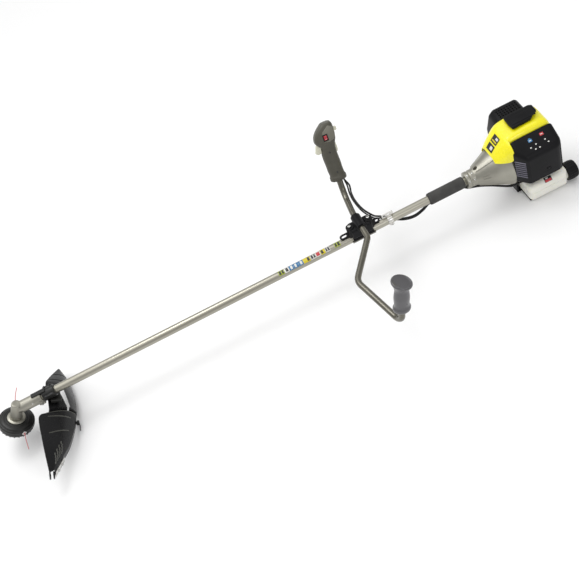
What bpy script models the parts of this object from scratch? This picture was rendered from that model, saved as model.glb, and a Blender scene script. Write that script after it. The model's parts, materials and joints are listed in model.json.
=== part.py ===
"""A petrol string trimmer with a bike handle, built as separate pieces.

The straight shaft lies along X: the cutting head is at the low X end and the engine at the
high X end. +Y is the operator's right and +Z is up. Units are metres. X = 0 is the open end
of the gear case sleeve, and Y = Z = 0 is the shaft's own axis; ORIGIN_SHIFT then moves the
whole machine so that the world origin lies below its middle, on the ground that it rests on.
"""

from math import atan2, cos, pi, radians, sin, tan

import bmesh
import bpy
from mathutils import Matrix, Vector

# Driving dimensions
GAP = 0.0003
TUBE_RADIUS = 0.0127
TUBE_WALL = 0.0015
TUBE_START, TUBE_END = -0.048, 1.490
DRIVE_RADIUS = 0.004
HEAD_X = -0.088
HEAD_TILT = radians(29.6)
CUTTING_HEAD_RADIUS = 0.055
LINE_RADIUS = 0.0012
CLAMP_X = 1.097
BAR_RADIUS = 0.0095
BAR_WALL = 0.0015
BAR_HEIGHT = 0.052
CABLE_RADIUS = 0.002
CRANK_X = 1.624
GROUND_Z = -0.1405

# Bevel gears that turn the drive through the head's tilt
PINION_TEETH, GEAR_TEETH = 12, 16
CONE_DISTANCE, FACE_WIDTH = 0.018, 0.008
ADDENDUM, DEDENDUM = radians(2.2), radians(6.2)
PINION_HUB_RADIUS = 0.0055

ORIGIN_SHIFT = Vector((-0.8056, 0.0932, -GROUND_Z))


# Scene and finishes

for old in list(bpy.data.objects):
    bpy.data.objects.remove(old)


def finish(name, colour, roughness, metallic=0.0):
    material = bpy.data.materials.new(name)
    material.use_nodes = True
    shader = material.node_tree.nodes["Principled BSDF"]
    shader.inputs["Base Color"].default_value = (*colour, 1)
    shader.inputs["Roughness"].default_value = roughness
    shader.inputs["Metallic"].default_value = metallic
    material.diffuse_color = (*colour, 1)
    return material


# Frames. Each is a matrix whose Z column is the direction that a turned piece points in.

def frame(origin, z_axis, x_hint=(1, 0, 0)):
    z_axis = Vector(z_axis).normalized()
    y_axis = z_axis.cross(Vector(x_hint)).normalized()
    x_axis = y_axis.cross(z_axis)
    place = Matrix((x_axis, y_axis, z_axis)).transposed().to_4x4()
    place.translation = Vector(origin)
    return place


def shaft_frame(x, y=0.0, z=0.0):
    """Local Z runs along the shaft, and local X is the machine's +Y."""
    return frame((x, y, z), (1, 0, 0), (0, 1, 0))


HEAD_UP = Vector((sin(HEAD_TILT), 0, cos(HEAD_TILT)))
HEAD_BACK = Vector((cos(HEAD_TILT), 0, -sin(HEAD_TILT)))
HEAD_FRAME = frame((HEAD_X, 0, 0), HEAD_UP, HEAD_BACK)
UPRIGHT = Matrix.Identity(4)


# Shape helpers

def solid(name, mesh_data, material, place=UPRIGHT, smooth=35):
    """A named object from a bmesh, with its normals out and its round faces smooth."""
    bmesh.ops.recalc_face_normals(mesh_data, faces=mesh_data.faces)
    mesh = bpy.data.meshes.new(name)
    mesh_data.to_mesh(mesh)
    mesh_data.free()
    mesh.shade_smooth()
    mesh.set_sharp_from_angle(angle=radians(smooth))
    if material:
        mesh.materials.append(material)
    made = bpy.data.objects.new(name, mesh)
    made.matrix_world = Matrix.Translation(ORIGIN_SHIFT) @ place
    bpy.context.scene.collection.objects.link(made)
    return made


def skin(rings, closed_rings=True, caps=True, loop=False):
    """A bmesh whose faces join each ring of points to the next, with the end rings filled."""
    built = bmesh.new()
    rows = [[built.verts.new(point) for point in ring] for ring in rings]
    pairs = list(zip(rows, rows[1:]))
    if loop:
        pairs.append((rows[-1], rows[0]))
    for low, high in pairs:
        count = len(low)
        for i in range(count if closed_rings else count - 1):
            j = (i + 1) % count
            corners = []
            for corner in (low[i], low[j], high[j], high[i]):
                if corner not in corners:
                    corners.append(corner)
            built.faces.new(corners)
    if caps and not loop:
        built.faces.new(rows[0])
        built.faces.new(rows[-1])
    return built


def circle(radius, height, steps, start=0.0):
    turn = 2 * pi / steps
    return [
        Vector((radius * cos(start + i * turn), radius * sin(start + i * turn), height))
        for i in range(steps)
    ]


def turned(name, profile, material, place, steps=20, hollow=False):
    """A turned piece. The profile is (height, radius) pairs; hollow joins its last to its first."""
    rings = [circle(radius, height, steps) for height, radius in profile]
    return solid(name, skin(rings, loop=hollow), material, place)


def block(name, low, high, material, place=UPRIGHT, bevel=0.0, segments=2):
    """A box between two corners, its edges rounded by bevel."""
    built = bmesh.new()
    bmesh.ops.create_cube(built, size=1)
    size = Vector(high) - Vector(low)
    middle = (Vector(high) + Vector(low)) / 2
    bmesh.ops.scale(built, vec=size, verts=built.verts)
    bmesh.ops.translate(built, vec=middle, verts=built.verts)
    if bevel:
        bmesh.ops.bevel(
            built, geom=built.edges[:], offset=bevel, segments=segments, profile=0.5, affect="EDGES"
        )
    return solid(name, built, material, place)


def plate(name, outline, low, high, material, place=UPRIGHT):
    """A flat plate: an outline of (x, y) pairs raised from low to high."""
    rings = [[Vector((x, y, z)) for x, y in outline] for z in (low, high)]
    return solid(name, skin(rings), material, place)


def pipe(name, points, radius, material, resolution=2):
    """A round bar or cable along points, with closed ends."""
    curve = bpy.data.curves.new(name, "CURVE")
    curve.dimensions = "3D"
    curve.bevel_depth = radius
    curve.bevel_resolution = resolution
    curve.use_fill_caps = True
    spline = curve.splines.new("POLY")
    spline.points.add(len(points) - 1)
    for spline_point, point in zip(spline.points, points):
        spline_point.co = (*point, 1)
    curve.materials.append(material)
    made = bpy.data.objects.new(name, curve)
    made.location = ORIGIN_SHIFT
    bpy.context.scene.collection.objects.link(made)
    return made


def bent_tube(name, points, radius, wall, material, steps=14):
    """A round tube along points, open at both ends."""
    ways = [(after - before).normalized() for before, after in zip([points[0], *points], [*points[1:], points[-1]])]
    normal = ways[0].orthogonal().normalized()
    sections = []
    for point, way in zip(points, ways):
        normal = (normal - way * normal.dot(way)).normalized()
        sections.append((point, normal, way.cross(normal)))

    def ring(section, reach):
        point, across, along = section
        angles = [2 * pi * i / steps for i in range(steps)]
        return [point + (across * cos(angle) + along * sin(angle)) * reach for angle in angles]

    outside = [ring(section, radius) for section in sections]
    inside = [ring(section, radius - wall) for section in reversed(sections)]
    return solid(name, skin(outside + inside, loop=True), material)


def combine(made, operation, *others):
    """Cuts the others from a piece, or joins them to it; the others stay hidden."""
    for other in others:
        modifier = made.modifiers.new(other.name, "BOOLEAN")
        modifier.operation = operation
        modifier.object = other
        other.hide_render = True
        other.display_type = "WIRE"
    return made


def cut(made, *others):
    return combine(made, "DIFFERENCE", *others)


def join(made, *others):
    return combine(made, "UNION", *others)


def rod(name, radius, start, end, steps=20):
    """A plain cylinder from start to end, used to cut or to join."""
    direction = Vector(end) - Vector(start)
    hint = (0, 1, 0) if abs(direction.normalized().y) < 0.9 else (1, 0, 0)
    return turned(
        name, [(0, radius), (direction.length, radius)], None, frame(start, direction, hint), steps
    )


def box(name, low, high, place=UPRIGHT):
    """A plain box, used to cut or to join."""
    return block(name, low, high, None, place)


def filleted(corners, steps=6):
    """Points along a bent bar. Each corner is (x, y, z, bend radius)."""
    points = [Vector(corners[0][:3])]
    for before, corner, after in zip(corners, corners[1:], corners[2:]):
        at, bend = Vector(corner[:3]), corner[3]
        back = (Vector(before[:3]) - at).normalized()
        forth = (Vector(after[:3]) - at).normalized()
        half = back.angle(forth) / 2
        reach = bend / tan(half)
        centre = at + (back + forth).normalized() * bend / sin(half)
        first = at + back * reach - centre
        last = at + forth * reach - centre
        sweep = first.angle(last)
        for i in range(steps + 1):
            part = i / steps
            first_share = sin((1 - part) * sweep) / sin(sweep)
            last_share = sin(part * sweep) / sin(sweep)
            points.append(centre + first * first_share + last * last_share)
    points.append(Vector(corners[-1][:3]))
    return points


def smooth_route(anchors, pieces=4):
    """Points read from a Catmull-Rom curve through the anchors."""
    knots = [Vector(a) for a in anchors]
    knots = [2 * knots[0] - knots[1], *knots, 2 * knots[-1] - knots[-2]]
    route = []
    for a, b, c, d in zip(knots, knots[1:], knots[2:], knots[3:]):
        for i in range(pieces):
            t = i / pieces
            route.append(
                0.5 * (2 * b + (c - a) * t + (2 * a - 5 * b + 4 * c - d) * t**2
                       + (3 * b - a - 3 * c + d) * t**3)
            )
    return [*route, knots[-2]]


# Gear case and bevel gears

SHAFT_ANGLE = pi / 2 - HEAD_TILT
PINION_CONE = atan2(sin(SHAFT_ANGLE), GEAR_TEETH / PINION_TEETH + cos(SHAFT_ANGLE))
GEAR_CONE = SHAFT_ANGLE - PINION_CONE


def toothed_cone(name, teeth, cone, material, place, first_tooth):
    """A straight bevel gear's toothed ring, its teeth narrowing towards the frame's origin."""
    far = CONE_DISTANCE * cos(cone)
    tip, root = far * tan(cone + ADDENDUM), far * tan(cone - DEDENDUM)
    pitch = 2 * pi / teeth
    ring = []
    for tooth in range(teeth):
        middle = first_tooth + tooth * pitch
        for share, radius in ((-0.20, root), (-0.09, tip), (0.09, tip), (0.20, root)):
            angle = middle + share * pitch
            ring.append(Vector((radius * cos(angle), radius * sin(angle), far)))
    near = 1 - FACE_WIDTH / CONE_DISTANCE
    return solid(name, skin([[point * near for point in ring], ring]), material, place)


def gear_case(aluminium):
    barrel = [(-0.034, 0.0182), (-0.029, 0.0182), (0.020, 0.0156), (0.025, 0.0148), (0.0275, 0.012)]
    case = turned("gearcase", barrel, aluminium, HEAD_FRAME, 22)
    sleeve = turned(
        "case_sleeve", [(0.004, 0.0150), (0.022, 0.0190), (-HEAD_X, 0.0190)], None,
        shaft_frame(HEAD_X), 22,
    )
    pinch_lug = block(
        "case_lug", (-0.022, -0.0085, -0.0285), (-0.0005, 0.0085, -0.010), None, bevel=0.003
    )
    join(case, sleeve, pinch_lug)
    cut(
        case,
        turned("case_gear_room", [(-0.04, 0.0124), (0.0235, 0.0124)], None, HEAD_FRAME, 22),
        rod("case_pinion_room", 0.0104, (HEAD_X, 0, 0), (-0.045, 0, 0), 20),
        rod("case_tube_seat", TUBE_RADIUS + GAP, (TUBE_START - 0.0005, 0, 0), (0.01, 0, 0), 22),
        box("case_split", (-0.030, -0.0012, -0.04), (0.01, 0.0012, -0.005)),
        rod("case_bolt_hole", 0.0026, (-0.011, -0.02, -0.0225), (-0.011, 0.02, -0.0225), 12),
    )


def gears(steel):
    pinion_frame = shaft_frame(HEAD_X)
    pinion = toothed_cone("pinion", PINION_TEETH, PINION_CONE, steel, pinion_frame, pi / 2)
    hub_start = CONE_DISTANCE * cos(PINION_CONE) - 0.002
    hub_end = 0.034
    join(pinion, turned("pinion_hub", [(hub_start, PINION_HUB_RADIUS), (hub_end, PINION_HUB_RADIUS)], None, pinion_frame, 20))
    cut(pinion, turned("pinion_socket", [(0.020, 0.0043), (hub_end + 0.01, 0.0043)], None, pinion_frame, 16))

    half_pitch = pi / GEAR_TEETH
    gear = toothed_cone("output_gear", GEAR_TEETH, GEAR_CONE, steel, HEAD_FRAME, half_pitch)
    spindle = [(-0.0600, 0.0045), (0.012, 0.0045), (0.0135, 0.0085), (0.0185, 0.0085), (0.0185, 0.006), (0.022, 0.006)]
    join(gear, turned("spindle", spindle, None, HEAD_FRAME, 20))


# Cutting head: a dished washer, the head's two shells, and the spool that the bump knob carries

def cutting_head(steel, black, orange, red):
    washer = [(-0.0345, 0.0050), (-0.0345, 0.0220), (-0.0365, 0.0280), (-0.0385, 0.0280), (-0.0385, 0.0050)]
    turned("flange_washer", washer, steel, HEAD_FRAME, 22, hollow=True)

    upper = [
        (-0.0390, 0.0050), (-0.0390, 0.0330), (-0.0420, 0.0430), (-0.0455, 0.0490), (-0.0470, 0.0500),
        (-0.0500, CUTTING_HEAD_RADIUS), (-0.0625, CUTTING_HEAD_RADIUS), (-0.0640, 0.0540), (-0.0640, 0.0512),
        (-0.0515, 0.0512), (-0.0480, 0.0465), (-0.0440, 0.0400), (-0.0420, 0.0300), (-0.0420, 0.0120),
        (-0.0440, 0.0120), (-0.0440, 0.0050),
    ]
    turned("head_housing", upper, black, HEAD_FRAME, 22, hollow=True)

    lower = [
        (-0.0643, 0.0540), (-0.0710, 0.0525), (-0.0770, 0.0470), (-0.0790, 0.0400), (-0.0790, 0.0300),
        (-0.0765, 0.0300), (-0.0765, 0.0400), (-0.0700, 0.0490), (-0.0643, 0.0500),
    ]
    turned("head_cover", lower, black, HEAD_FRAME, 22, hollow=True)

    spool = [
        (-0.0520, 0.0140), (-0.0520, 0.0440), (-0.0535, 0.0440), (-0.0545, 0.0400), (-0.0660, 0.0400),
        (-0.0670, 0.0440), (-0.0685, 0.0440), (-0.0685, 0.0140),
    ]
    turned("spool", spool, orange, HEAD_FRAME, 20, hollow=True)

    knob = [
        (-0.0690, 0.0180), (-0.0690, 0.0285), (-0.0870, 0.0285), (-0.0920, 0.0250), (-0.0940, 0.0180),
        (-0.0950, 0.0080),
    ]
    turned("bump_knob", knob, black, HEAD_FRAME, 20)

    turns, steps_per_turn = 4, 8
    count = turns * steps_per_turn
    coil = [
        HEAD_FRAME @ Vector((
            0.0095 * cos(2 * pi * i / steps_per_turn),
            0.0095 * sin(2 * pi * i / steps_per_turn),
            -0.0456 - 0.0220 * i / count,
        ))
        for i in range(count + 1)
    ]
    pipe("head_spring", coil, 0.0009, steel, 1)

    for number, side in ((1, -1), (2, 1)):
        reach = (0.060, 0.082)[number - 1]
        out = [0.0, 0.25, 0.5, 0.75, 1.0]
        line = [
            HEAD_FRAME @ Vector((
                0.006 + 0.012 * t * t, side * (CUTTING_HEAD_RADIUS + 0.0008 + reach * t), -0.056 - 0.003 * t * t,
            ))
            for t in out
        ]
        pipe(f"nylon_line_{number}", line, LINE_RADIUS, red, 1)


# Guard: a curved shield under the shaft, its skirt extension, and the clamp that holds them

SHIELD_HEIGHTS = ((0.0, 0.0), (0.45, 0.16), (0.75, 0.42), (0.93, 0.75), (1.0, 1.0))
RIM_HEIGHT = -0.032


def shield(name, stations, material, drop, thickness):
    """A solidified shield. Each station is (rim point, inner edge point, inner edge height)."""
    rows = []
    for rim, inner, height in stations:
        rim, inner = Vector(rim), Vector(inner)
        row = [
            Vector((*inner.lerp(rim, share), height + (RIM_HEIGHT - height) * fall))
            for share, fall in SHIELD_HEIGHTS
        ]
        row.append(Vector((*rim, drop)))
        rows.append(row)
    built = skin(rows, closed_rings=False, caps=False)
    made = solid(name, built, material, HEAD_FRAME)
    wall = made.modifiers.new("wall", "SOLIDIFY")
    wall.thickness = thickness
    wall.offset = 0
    wall.use_even_offset = True
    return made


def guard(black, steel):
    upper = [
        ((0.160, 0.160), (0.153, 0.158), -0.022), ((0.172, 0.128), (0.133, 0.130), -0.008),
        ((0.180, 0.090), (0.112, 0.096), 0.010), ((0.183, 0.052), (0.098, 0.066), 0.024),
        ((0.183, 0.015), (0.095, 0.025), 0.030), ((0.178, -0.024), (0.091, -0.0405), 0.026),
        ((0.1770, -0.0252), (0.090, -0.0417), 0.010),
    ]
    shield("guard", upper, black, -0.0568, 0.0028)
    lower = [
        ((0.1750, -0.0310), (0.070, -0.0475), 0.017), ((0.1680, -0.0600), (0.056, -0.063), 0.015),
        ((0.152, -0.104), (0.055, -0.128), 0.006), ((0.134, -0.142), (0.056, -0.172), -0.004),
        ((0.106, -0.184), (0.058, -0.208), -0.016), ((0.078, -0.226), (0.060, -0.236), -0.026),
    ]
    shield("guard_skirt", lower, black, -0.0575, 0.0028)

    start, end = Vector((0.1130, -0.1800)), Vector((0.0790, -0.2310))
    along = (end - start).normalized()
    out = Vector((-along.y, along.x)) * 0.0016
    corners = [start, end, end + out, start + out]
    blade = [(corner.x, corner.y) for corner in corners]
    plate("line_cutter", blade, -0.060, -0.036, steel, HEAD_FRAME)

    bracket = turned(
        "guard_bracket", [(0.004, 0.0175), (0.006, 0.019), (0.044, 0.019), (0.046, 0.0175)],
        black, shaft_frame(0), 20,
    )
    foot = block("bracket_foot", (0.100, -0.026, 0.0325), (0.132, 0.026, 0.046), None, HEAD_FRAME, 0.003)
    ears = block("bracket_ears", (0.010, -0.022, 0.004), (0.042, 0.022, 0.012), None, bevel=0.002)
    tab = block("bracket_tab", (-0.026, -0.007, 0.0195), (0.020, 0.007, 0.0235), None, bevel=0.0012)
    tab_root = block("bracket_tab_root", (0.006, -0.007, 0.016), (0.020, 0.007, 0.0235), None, bevel=0.001)
    join(bracket, foot, ears, tab, tab_root)
    cut(bracket, rod("bracket_bore", TUBE_RADIUS + GAP, (-0.02, 0, 0), (0.07, 0, 0), 22))


# Shaft

def shaft(grey, steel, nylon):
    bore = TUBE_RADIUS - TUBE_WALL
    turned(
        "shaft_tube",
        [(TUBE_START, bore), (TUBE_START, TUBE_RADIUS), (TUBE_END, TUBE_RADIUS), (TUBE_END, bore)],
        grey, shaft_frame(0), 22, hollow=True,
    )
    turned("drive_shaft", [(-0.066, DRIVE_RADIUS), (1.5262, DRIVE_RADIUS)], steel, shaft_frame(0), 16)
    for number, middle in ((1, 0.38), (2, 1.06)):
        half = 0.012
        bush = [
            (middle - half, DRIVE_RADIUS + GAP), (middle - half, bore - GAP),
            (middle + half, bore - GAP), (middle + half, DRIVE_RADIUS + GAP),
        ]
        turned(f"shaft_bush_{number}", bush, nylon, shaft_frame(0), 16, hollow=True)


# Handle: a clamp on the shaft, one bent bar, and the two grips

LEFT_GRIP_BASE, LEFT_GRIP_TOP = Vector((1.0625, -0.403, 0.096)), Vector((1.087, -0.403, 0.207))
LEFT_GRIP_UP = (LEFT_GRIP_TOP - LEFT_GRIP_BASE).normalized()
RIGHT_GRIP_BASE = Vector((1.110, 0.153, 0.100))
RIGHT_GRIP_UP = Vector((0.0835, 0.4227, 0.902)).normalized()
BAR_LEFT = [
    (CLAMP_X, -0.070, BAR_HEIGHT, 0.030), (1.003, -0.201, 0.050, 0.045),
    (*(LEFT_GRIP_BASE - 0.046 * LEFT_GRIP_UP), 0.032),
]
BAR_RIGHT = [
    (CLAMP_X, 0.045, BAR_HEIGHT, 0.150), (*(RIGHT_GRIP_BASE - 0.053 * RIGHT_GRIP_UP), 0.050),
]


def clamp(bronze, black):
    base = turned("clamp_base", [(-0.0385, 0.0165), (0.0385, 0.0165)], bronze, shaft_frame(CLAMP_X), 20)
    cut(
        base,
        rod("base_bore", TUBE_RADIUS + GAP, (1.0, 0, 0), (1.2, 0, 0), 22),
        box("base_half", (1.0, -0.03, 0.0005), (1.2, 0.03, 0.03)),
    )
    cap = turned("clamp_cap", [(-0.0345, 0.0185), (0.0345, 0.0185)], black, shaft_frame(CLAMP_X), 20)
    body = block(
        "cap_body", (CLAMP_X - 0.031, -0.021, 0.012), (CLAMP_X + 0.031, 0.021, 0.056), None, bevel=0.006
    )
    ridge = rod("cap_ridge", 0.0155, (CLAMP_X, -0.026, BAR_HEIGHT), (CLAMP_X, 0.026, BAR_HEIGHT))
    lugs = block(
        "cap_lugs", (CLAMP_X - 0.070, -0.004, 0.0135), (CLAMP_X + 0.062, 0.004, 0.0335), None, bevel=0.002
    )
    join(cap, body, ridge, lugs)
    cut(
        cap,
        rod("cap_shaft_bore", TUBE_RADIUS + GAP, (1.0, 0, 0), (1.2, 0, 0), 22),
        box("cap_half", (1.0, -0.04, -0.03), (1.2, 0.04, 0.0010)),
        rod("cap_bar_bore", BAR_RADIUS + 2 * GAP, (CLAMP_X, -0.05, BAR_HEIGHT), (CLAMP_X, 0.05, BAR_HEIGHT)),
        rod("cap_front_eye", 0.0045, (CLAMP_X - 0.058, -0.02, 0.0235), (CLAMP_X - 0.058, 0.02, 0.0235), 16),
        rod("cap_rear_eye", 0.0045, (CLAMP_X + 0.050, -0.02, 0.0235), (CLAMP_X + 0.050, 0.02, 0.0235), 16),
    )


def handlebar(bronze):
    corners = [
        (*(LEFT_GRIP_BASE + LEFT_GRIP_UP * 0.075), 0),
        *reversed(BAR_LEFT),
        *BAR_RIGHT,
        (*(RIGHT_GRIP_BASE + RIGHT_GRIP_UP * 0.060), 0),
    ]
    bent_tube("handlebar", filleted(corners, 6), BAR_RADIUS, BAR_WALL, bronze)


def oval(centre, half_x, half_y, x_axis, y_axis, steps=20, power=1.0):
    points = []
    for i in range(steps):
        angle = 2 * pi * i / steps
        across, along = cos(angle), sin(angle)
        swell = (abs(across) ** (2 * power) + abs(along) ** (2 * power)) ** (-1 / (2 * power))
        points.append(centre + x_axis * half_x * across * swell + y_axis * half_y * along * swell)
    return points


def left_grip(rubber):
    up = LEFT_GRIP_UP
    side = Vector((0, -1, 0))
    fore = side.cross(up).normalized()
    length = (LEFT_GRIP_TOP - LEFT_GRIP_BASE).length
    profile = [
        (0.010, 0.021), (0.014, 0.0245), (0.020, 0.0250), (0.027, 0.0225), (0.034, 0.0220),
        (0.060, 0.0225), (0.085, 0.0205), (0.096, 0.0215),
    ]
    rings = [
        oval(LEFT_GRIP_BASE + up * height, radius, radius * 0.84, fore, side) for height, radius in profile
    ]
    flange_up = Vector((0.466, -0.047, 0.876)).normalized()
    flange_side = flange_up.cross(fore).normalized()
    flange_fore = flange_side.cross(flange_up).normalized()
    top = LEFT_GRIP_BASE + up * length
    for height, half in ((-0.003, 0.0285), (0.001, 0.0300), (0.004, 0.0285), (0.0015, 0.0250), (0.000, 0.012)):
        rings.append(oval(top + flange_up * height, half, half * 0.96, flange_fore, flange_side))
    made = solid("left_grip", skin(rings), rubber)
    cut(made, rod("left_grip_bore", BAR_RADIUS + GAP, LEFT_GRIP_BASE - up * 0.02, LEFT_GRIP_BASE + up * 0.077))


GRIP_FORE = Vector((-1, 0, 0))
GRIP_SIDE = RIGHT_GRIP_UP.cross(GRIP_FORE).normalized()
GRIP_FORE = GRIP_SIDE.cross(RIGHT_GRIP_UP).normalized()
GRIP_FRAME = Matrix((GRIP_FORE, GRIP_SIDE, RIGHT_GRIP_UP)).transposed().to_4x4()
GRIP_FRAME.translation = RIGHT_GRIP_BASE


def grip_shell(name, material, side):
    """One half of the throttle grip's moulding: a handle that swells into a head at the top."""
    sections = [
        # height, forward shift, half fore and aft, half across, squareness
        (0.000, 0.000, 0.0225, 0.0190, 1.0), (0.004, 0.000, 0.0260, 0.0225, 1.0), (0.014, 0.000, 0.0262, 0.0228, 1.0),
        (0.022, 0.000, 0.0235, 0.0195, 1.0), (0.045, 0.001, 0.0240, 0.0190, 1.0), (0.085, 0.002, 0.0240, 0.0185, 1.1),
        (0.112, -0.002, 0.0225, 0.0185, 1.2), (0.124, 0.000, 0.0290, 0.0200, 1.4), (0.134, 0.002, 0.0340, 0.0215, 1.7),
        (0.160, -0.004, 0.0305, 0.0215, 1.8), (0.176, -0.0125, 0.0220, 0.0200, 1.7), (0.184, -0.0150, 0.0150, 0.0150, 1.5),
    ]
    rings = [
        oval(Vector((shift, 0, height)), fore, across, Vector((1, 0, 0)), Vector((0, 1, 0)), 20, power)
        for height, shift, fore, across, power in sections
    ]
    made = solid(name, skin(rings), material, GRIP_FRAME)
    seam = 0.0002
    low, high = (-seam, 0.05) if side < 0 else (-0.05, seam)
    other_half = box(f"{name}_half", (-0.08, low, -0.02), (0.08, high, 0.22), GRIP_FRAME)
    bar_room = turned(f"{name}_bar_room", [(-0.02, BAR_RADIUS + GAP), (0.063, BAR_RADIUS + GAP)], None, GRIP_FRAME, 20)
    cable_room = box(f"{name}_cable_room", (-0.0178, -0.0054, -0.02), (-0.0122, 0.0054, 0.012), GRIP_FRAME)
    trigger_room = box(f"{name}_trigger_room", (0.008, -0.0052, 0.088), (0.060, 0.0052, 0.1385), GRIP_FRAME)
    lever_room = box(f"{name}_lever_room", (-0.040, -0.0048, 0.084), (-0.0125, 0.0048, 0.1300), GRIP_FRAME)
    cut(made, other_half, bar_room, cable_room, trigger_room, lever_room)
    return made


TRIGGER_PIVOT = Vector((0.0150, 0, 0.1310))
LEVER_PIVOT = Vector((-0.0190, 0, 0.1240))
SWITCH_AT = Vector((0.0000, 0.0185, 0.1440))
LOCK_AT = Vector((-0.0290, 0, 0.1560))


def throttle(grey, ivory, red):
    shell = grip_shell("throttle_housing", grey, 1)
    cover = grip_shell("throttle_cover", grey, -1)
    switch_room = box(
        "switch_room", SWITCH_AT + Vector((-0.0062, -0.0065, -0.0085)), SWITCH_AT + Vector((0.0062, 0.0100, 0.0085)),
        GRIP_FRAME,
    )
    cut(shell, switch_room)
    for part_of, half in ((shell, "shell"), (cover, "cover")):
        cut(part_of, box(
            f"lock_room_{half}", LOCK_AT + Vector((-0.020, -0.0045, -0.0085)), LOCK_AT + Vector((0.010, 0.0045, 0.0085)),
            GRIP_FRAME,
        ))

    place = GRIP_FRAME @ Matrix.Translation(TRIGGER_PIVOT)
    blade = [
        (-0.0050, 0.0035), (0.0045, 0.0035), (0.0095, -0.0010), (0.0200, -0.0070), (0.0275, -0.0280),
        (0.0200, -0.0345), (0.0085, -0.0330), (0.0060, -0.0180), (-0.0050, -0.0050),
    ]
    sideways = place @ Matrix.Rotation(pi / 2, 4, "X")
    plate("throttle_trigger", blade, -0.0045, 0.0045, ivory, sideways)

    place = GRIP_FRAME @ Matrix.Translation(LEVER_PIVOT)
    lever = [
        (0.0045, 0.0040), (-0.0040, 0.0040), (-0.0075, -0.0020), (-0.0085, -0.0300), (-0.0060, -0.0370),
        (-0.0005, -0.0370), (-0.0010, -0.0060), (0.0045, -0.0030),
    ]
    plate("lockoff_lever", lever, -0.0040, 0.0040, ivory, place @ Matrix.Rotation(pi / 2, 4, "X"))

    place = GRIP_FRAME @ Matrix.Translation(SWITCH_AT)
    rocker = [
        (-0.0070, 0.0045), (-0.0035, 0.0050), (0.0, 0.0036), (0.0035, 0.0050), (0.0070, 0.0045),
        (0.0045, -0.0030), (-0.0045, -0.0030),
    ]
    switch_place = place @ Matrix(((0, 0, 1, 0), (0, 1, 0, 0), (-1, 0, 0, 0), (0, 0, 0, 1)))
    plate("stop_switch", rocker, -0.0050, 0.0050, red, switch_place)

    block(
        "start_lock_button", LOCK_AT + Vector((-0.0135, -0.0040, -0.0060)), LOCK_AT + Vector((0.0020, 0.0040, 0.0060)),
        ivory, GRIP_FRAME, 0.001,
    )


CABLE_ROUTE = [
    (1.1310, 0.1360, 0.0740), (1.1250, 0.1150, 0.0630), (1.1230, 0.0850, 0.0565), (1.1300, 0.0440, 0.0480),
    (1.1480, 0.0165, 0.0330), (1.1610, 0.0195, 0.0170), (1.1770, 0.0235, 0.0010), (1.1940, 0.0205, -0.0130),
    (1.2080, 0.0130, -0.0250), (1.2350, 0.0005, -0.0325), (1.2670, -0.0020, -0.0385), (1.2960, -0.0022, -0.0300),
    (1.3120, -0.0022, -0.0195), (1.3260, -0.0022, -0.0153), (1.3950, -0.0022, -0.0151), (1.4300, -0.0022, -0.0154),
    (1.4420, -0.0026, -0.0240), (1.4540, -0.0046, -0.0315), (1.4800, -0.0145, -0.0325), (1.5140, -0.0310, -0.0380),
    (1.5450, -0.0380, -0.0550), (1.5740, -0.0400, -0.0725), (1.5960, -0.0500, -0.0640), (1.6180, -0.0640, -0.0480),
    (1.6320, -0.0700, -0.0340), (1.6340, -0.0700, -0.0165),
]
WIRE_ROUTE = [
    (1.1250, 0.1400, 0.0720), (1.1200, 0.1180, 0.0590), (1.1190, 0.0850, 0.0520), (1.1260, 0.0420, 0.0440),
    (1.1440, 0.0120, 0.0300), (1.1560, 0.0150, 0.0150), (1.1740, 0.0190, 0.0000), (1.1920, 0.0168, -0.0100),
    (1.2080, 0.0120, -0.0200), (1.2350, 0.0050, -0.0300), (1.2670, 0.0030, -0.0370), (1.2960, 0.0026, -0.0290),
    (1.3120, 0.0026, -0.0190), (1.3260, 0.0026, -0.0153), (1.3950, 0.0026, -0.0151), (1.4300, 0.0026, -0.0154),
    (1.4420, 0.0020, -0.0240), (1.4540, 0.0000, -0.0315), (1.4800, -0.0095, -0.0335), (1.5140, -0.0250, -0.0410),
    (1.5450, -0.0320, -0.0580), (1.5740, -0.0340, -0.0745), (1.5900, -0.0340, -0.0690), (1.6000, -0.0320, -0.0600),
    (1.6200, -0.0290, -0.0525),
]


def cables(black):
    """The throttle cable and the stop switch's wire, side by side from the grip to the engine."""
    for name, route, side, radius in (
        ("throttle_cable", CABLE_ROUTE, 0.0026, CABLE_RADIUS),
        ("stop_wire", WIRE_ROUTE, -0.0026, 0.85 * CABLE_RADIUS),
    ):
        in_grip = [GRIP_FRAME @ Vector((-0.0150, side, height)) for height in (0.009, -0.006)]
        pipe(name, smooth_route([*in_grip, *route], 2), radius, black, 1)


def hanger_and_foam(steel, foam):
    hanger = turned("harness_hanger", [(-0.008, 0.0150), (0.008, 0.0150)], steel, shaft_frame(1.190), 22)
    eye = turned(
        "hanger_eye", [(-0.0022, 0.0040), (-0.0022, 0.0095), (0.0022, 0.0095), (0.0022, 0.0040)], None,
        frame((1.190, 0, 0.0240), (0, 1, 0)), 20, hollow=True,
    )
    neck = box("hanger_neck", (1.184, -0.0022, 0.0130), (1.196, 0.0022, 0.0185))
    join(hanger, neck, eye)
    cut(hanger, rod("hanger_bore", TUBE_RADIUS + GAP, (1.15, 0, 0), (1.23, 0, 0), 22))

    sleeve = turned(
        "foam_sleeve", [(1.322, 0.0165), (1.325, 0.0190), (1.439, 0.0190), (1.442, 0.0165)], foam, shaft_frame(0), 28
    )
    cut(
        sleeve,
        rod("foam_bore", TUBE_RADIUS + GAP, (1.30, 0, 0), (1.45, 0, 0), 22),
        box("foam_cable_room", (1.30, -0.0052, -0.0176), (1.42, 0.0052, -0.0100)),
        box("foam_cable_exit", (1.41, -0.0056, -0.0220), (1.46, 0.0056, -0.0100)),
    )


# Engine

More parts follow.
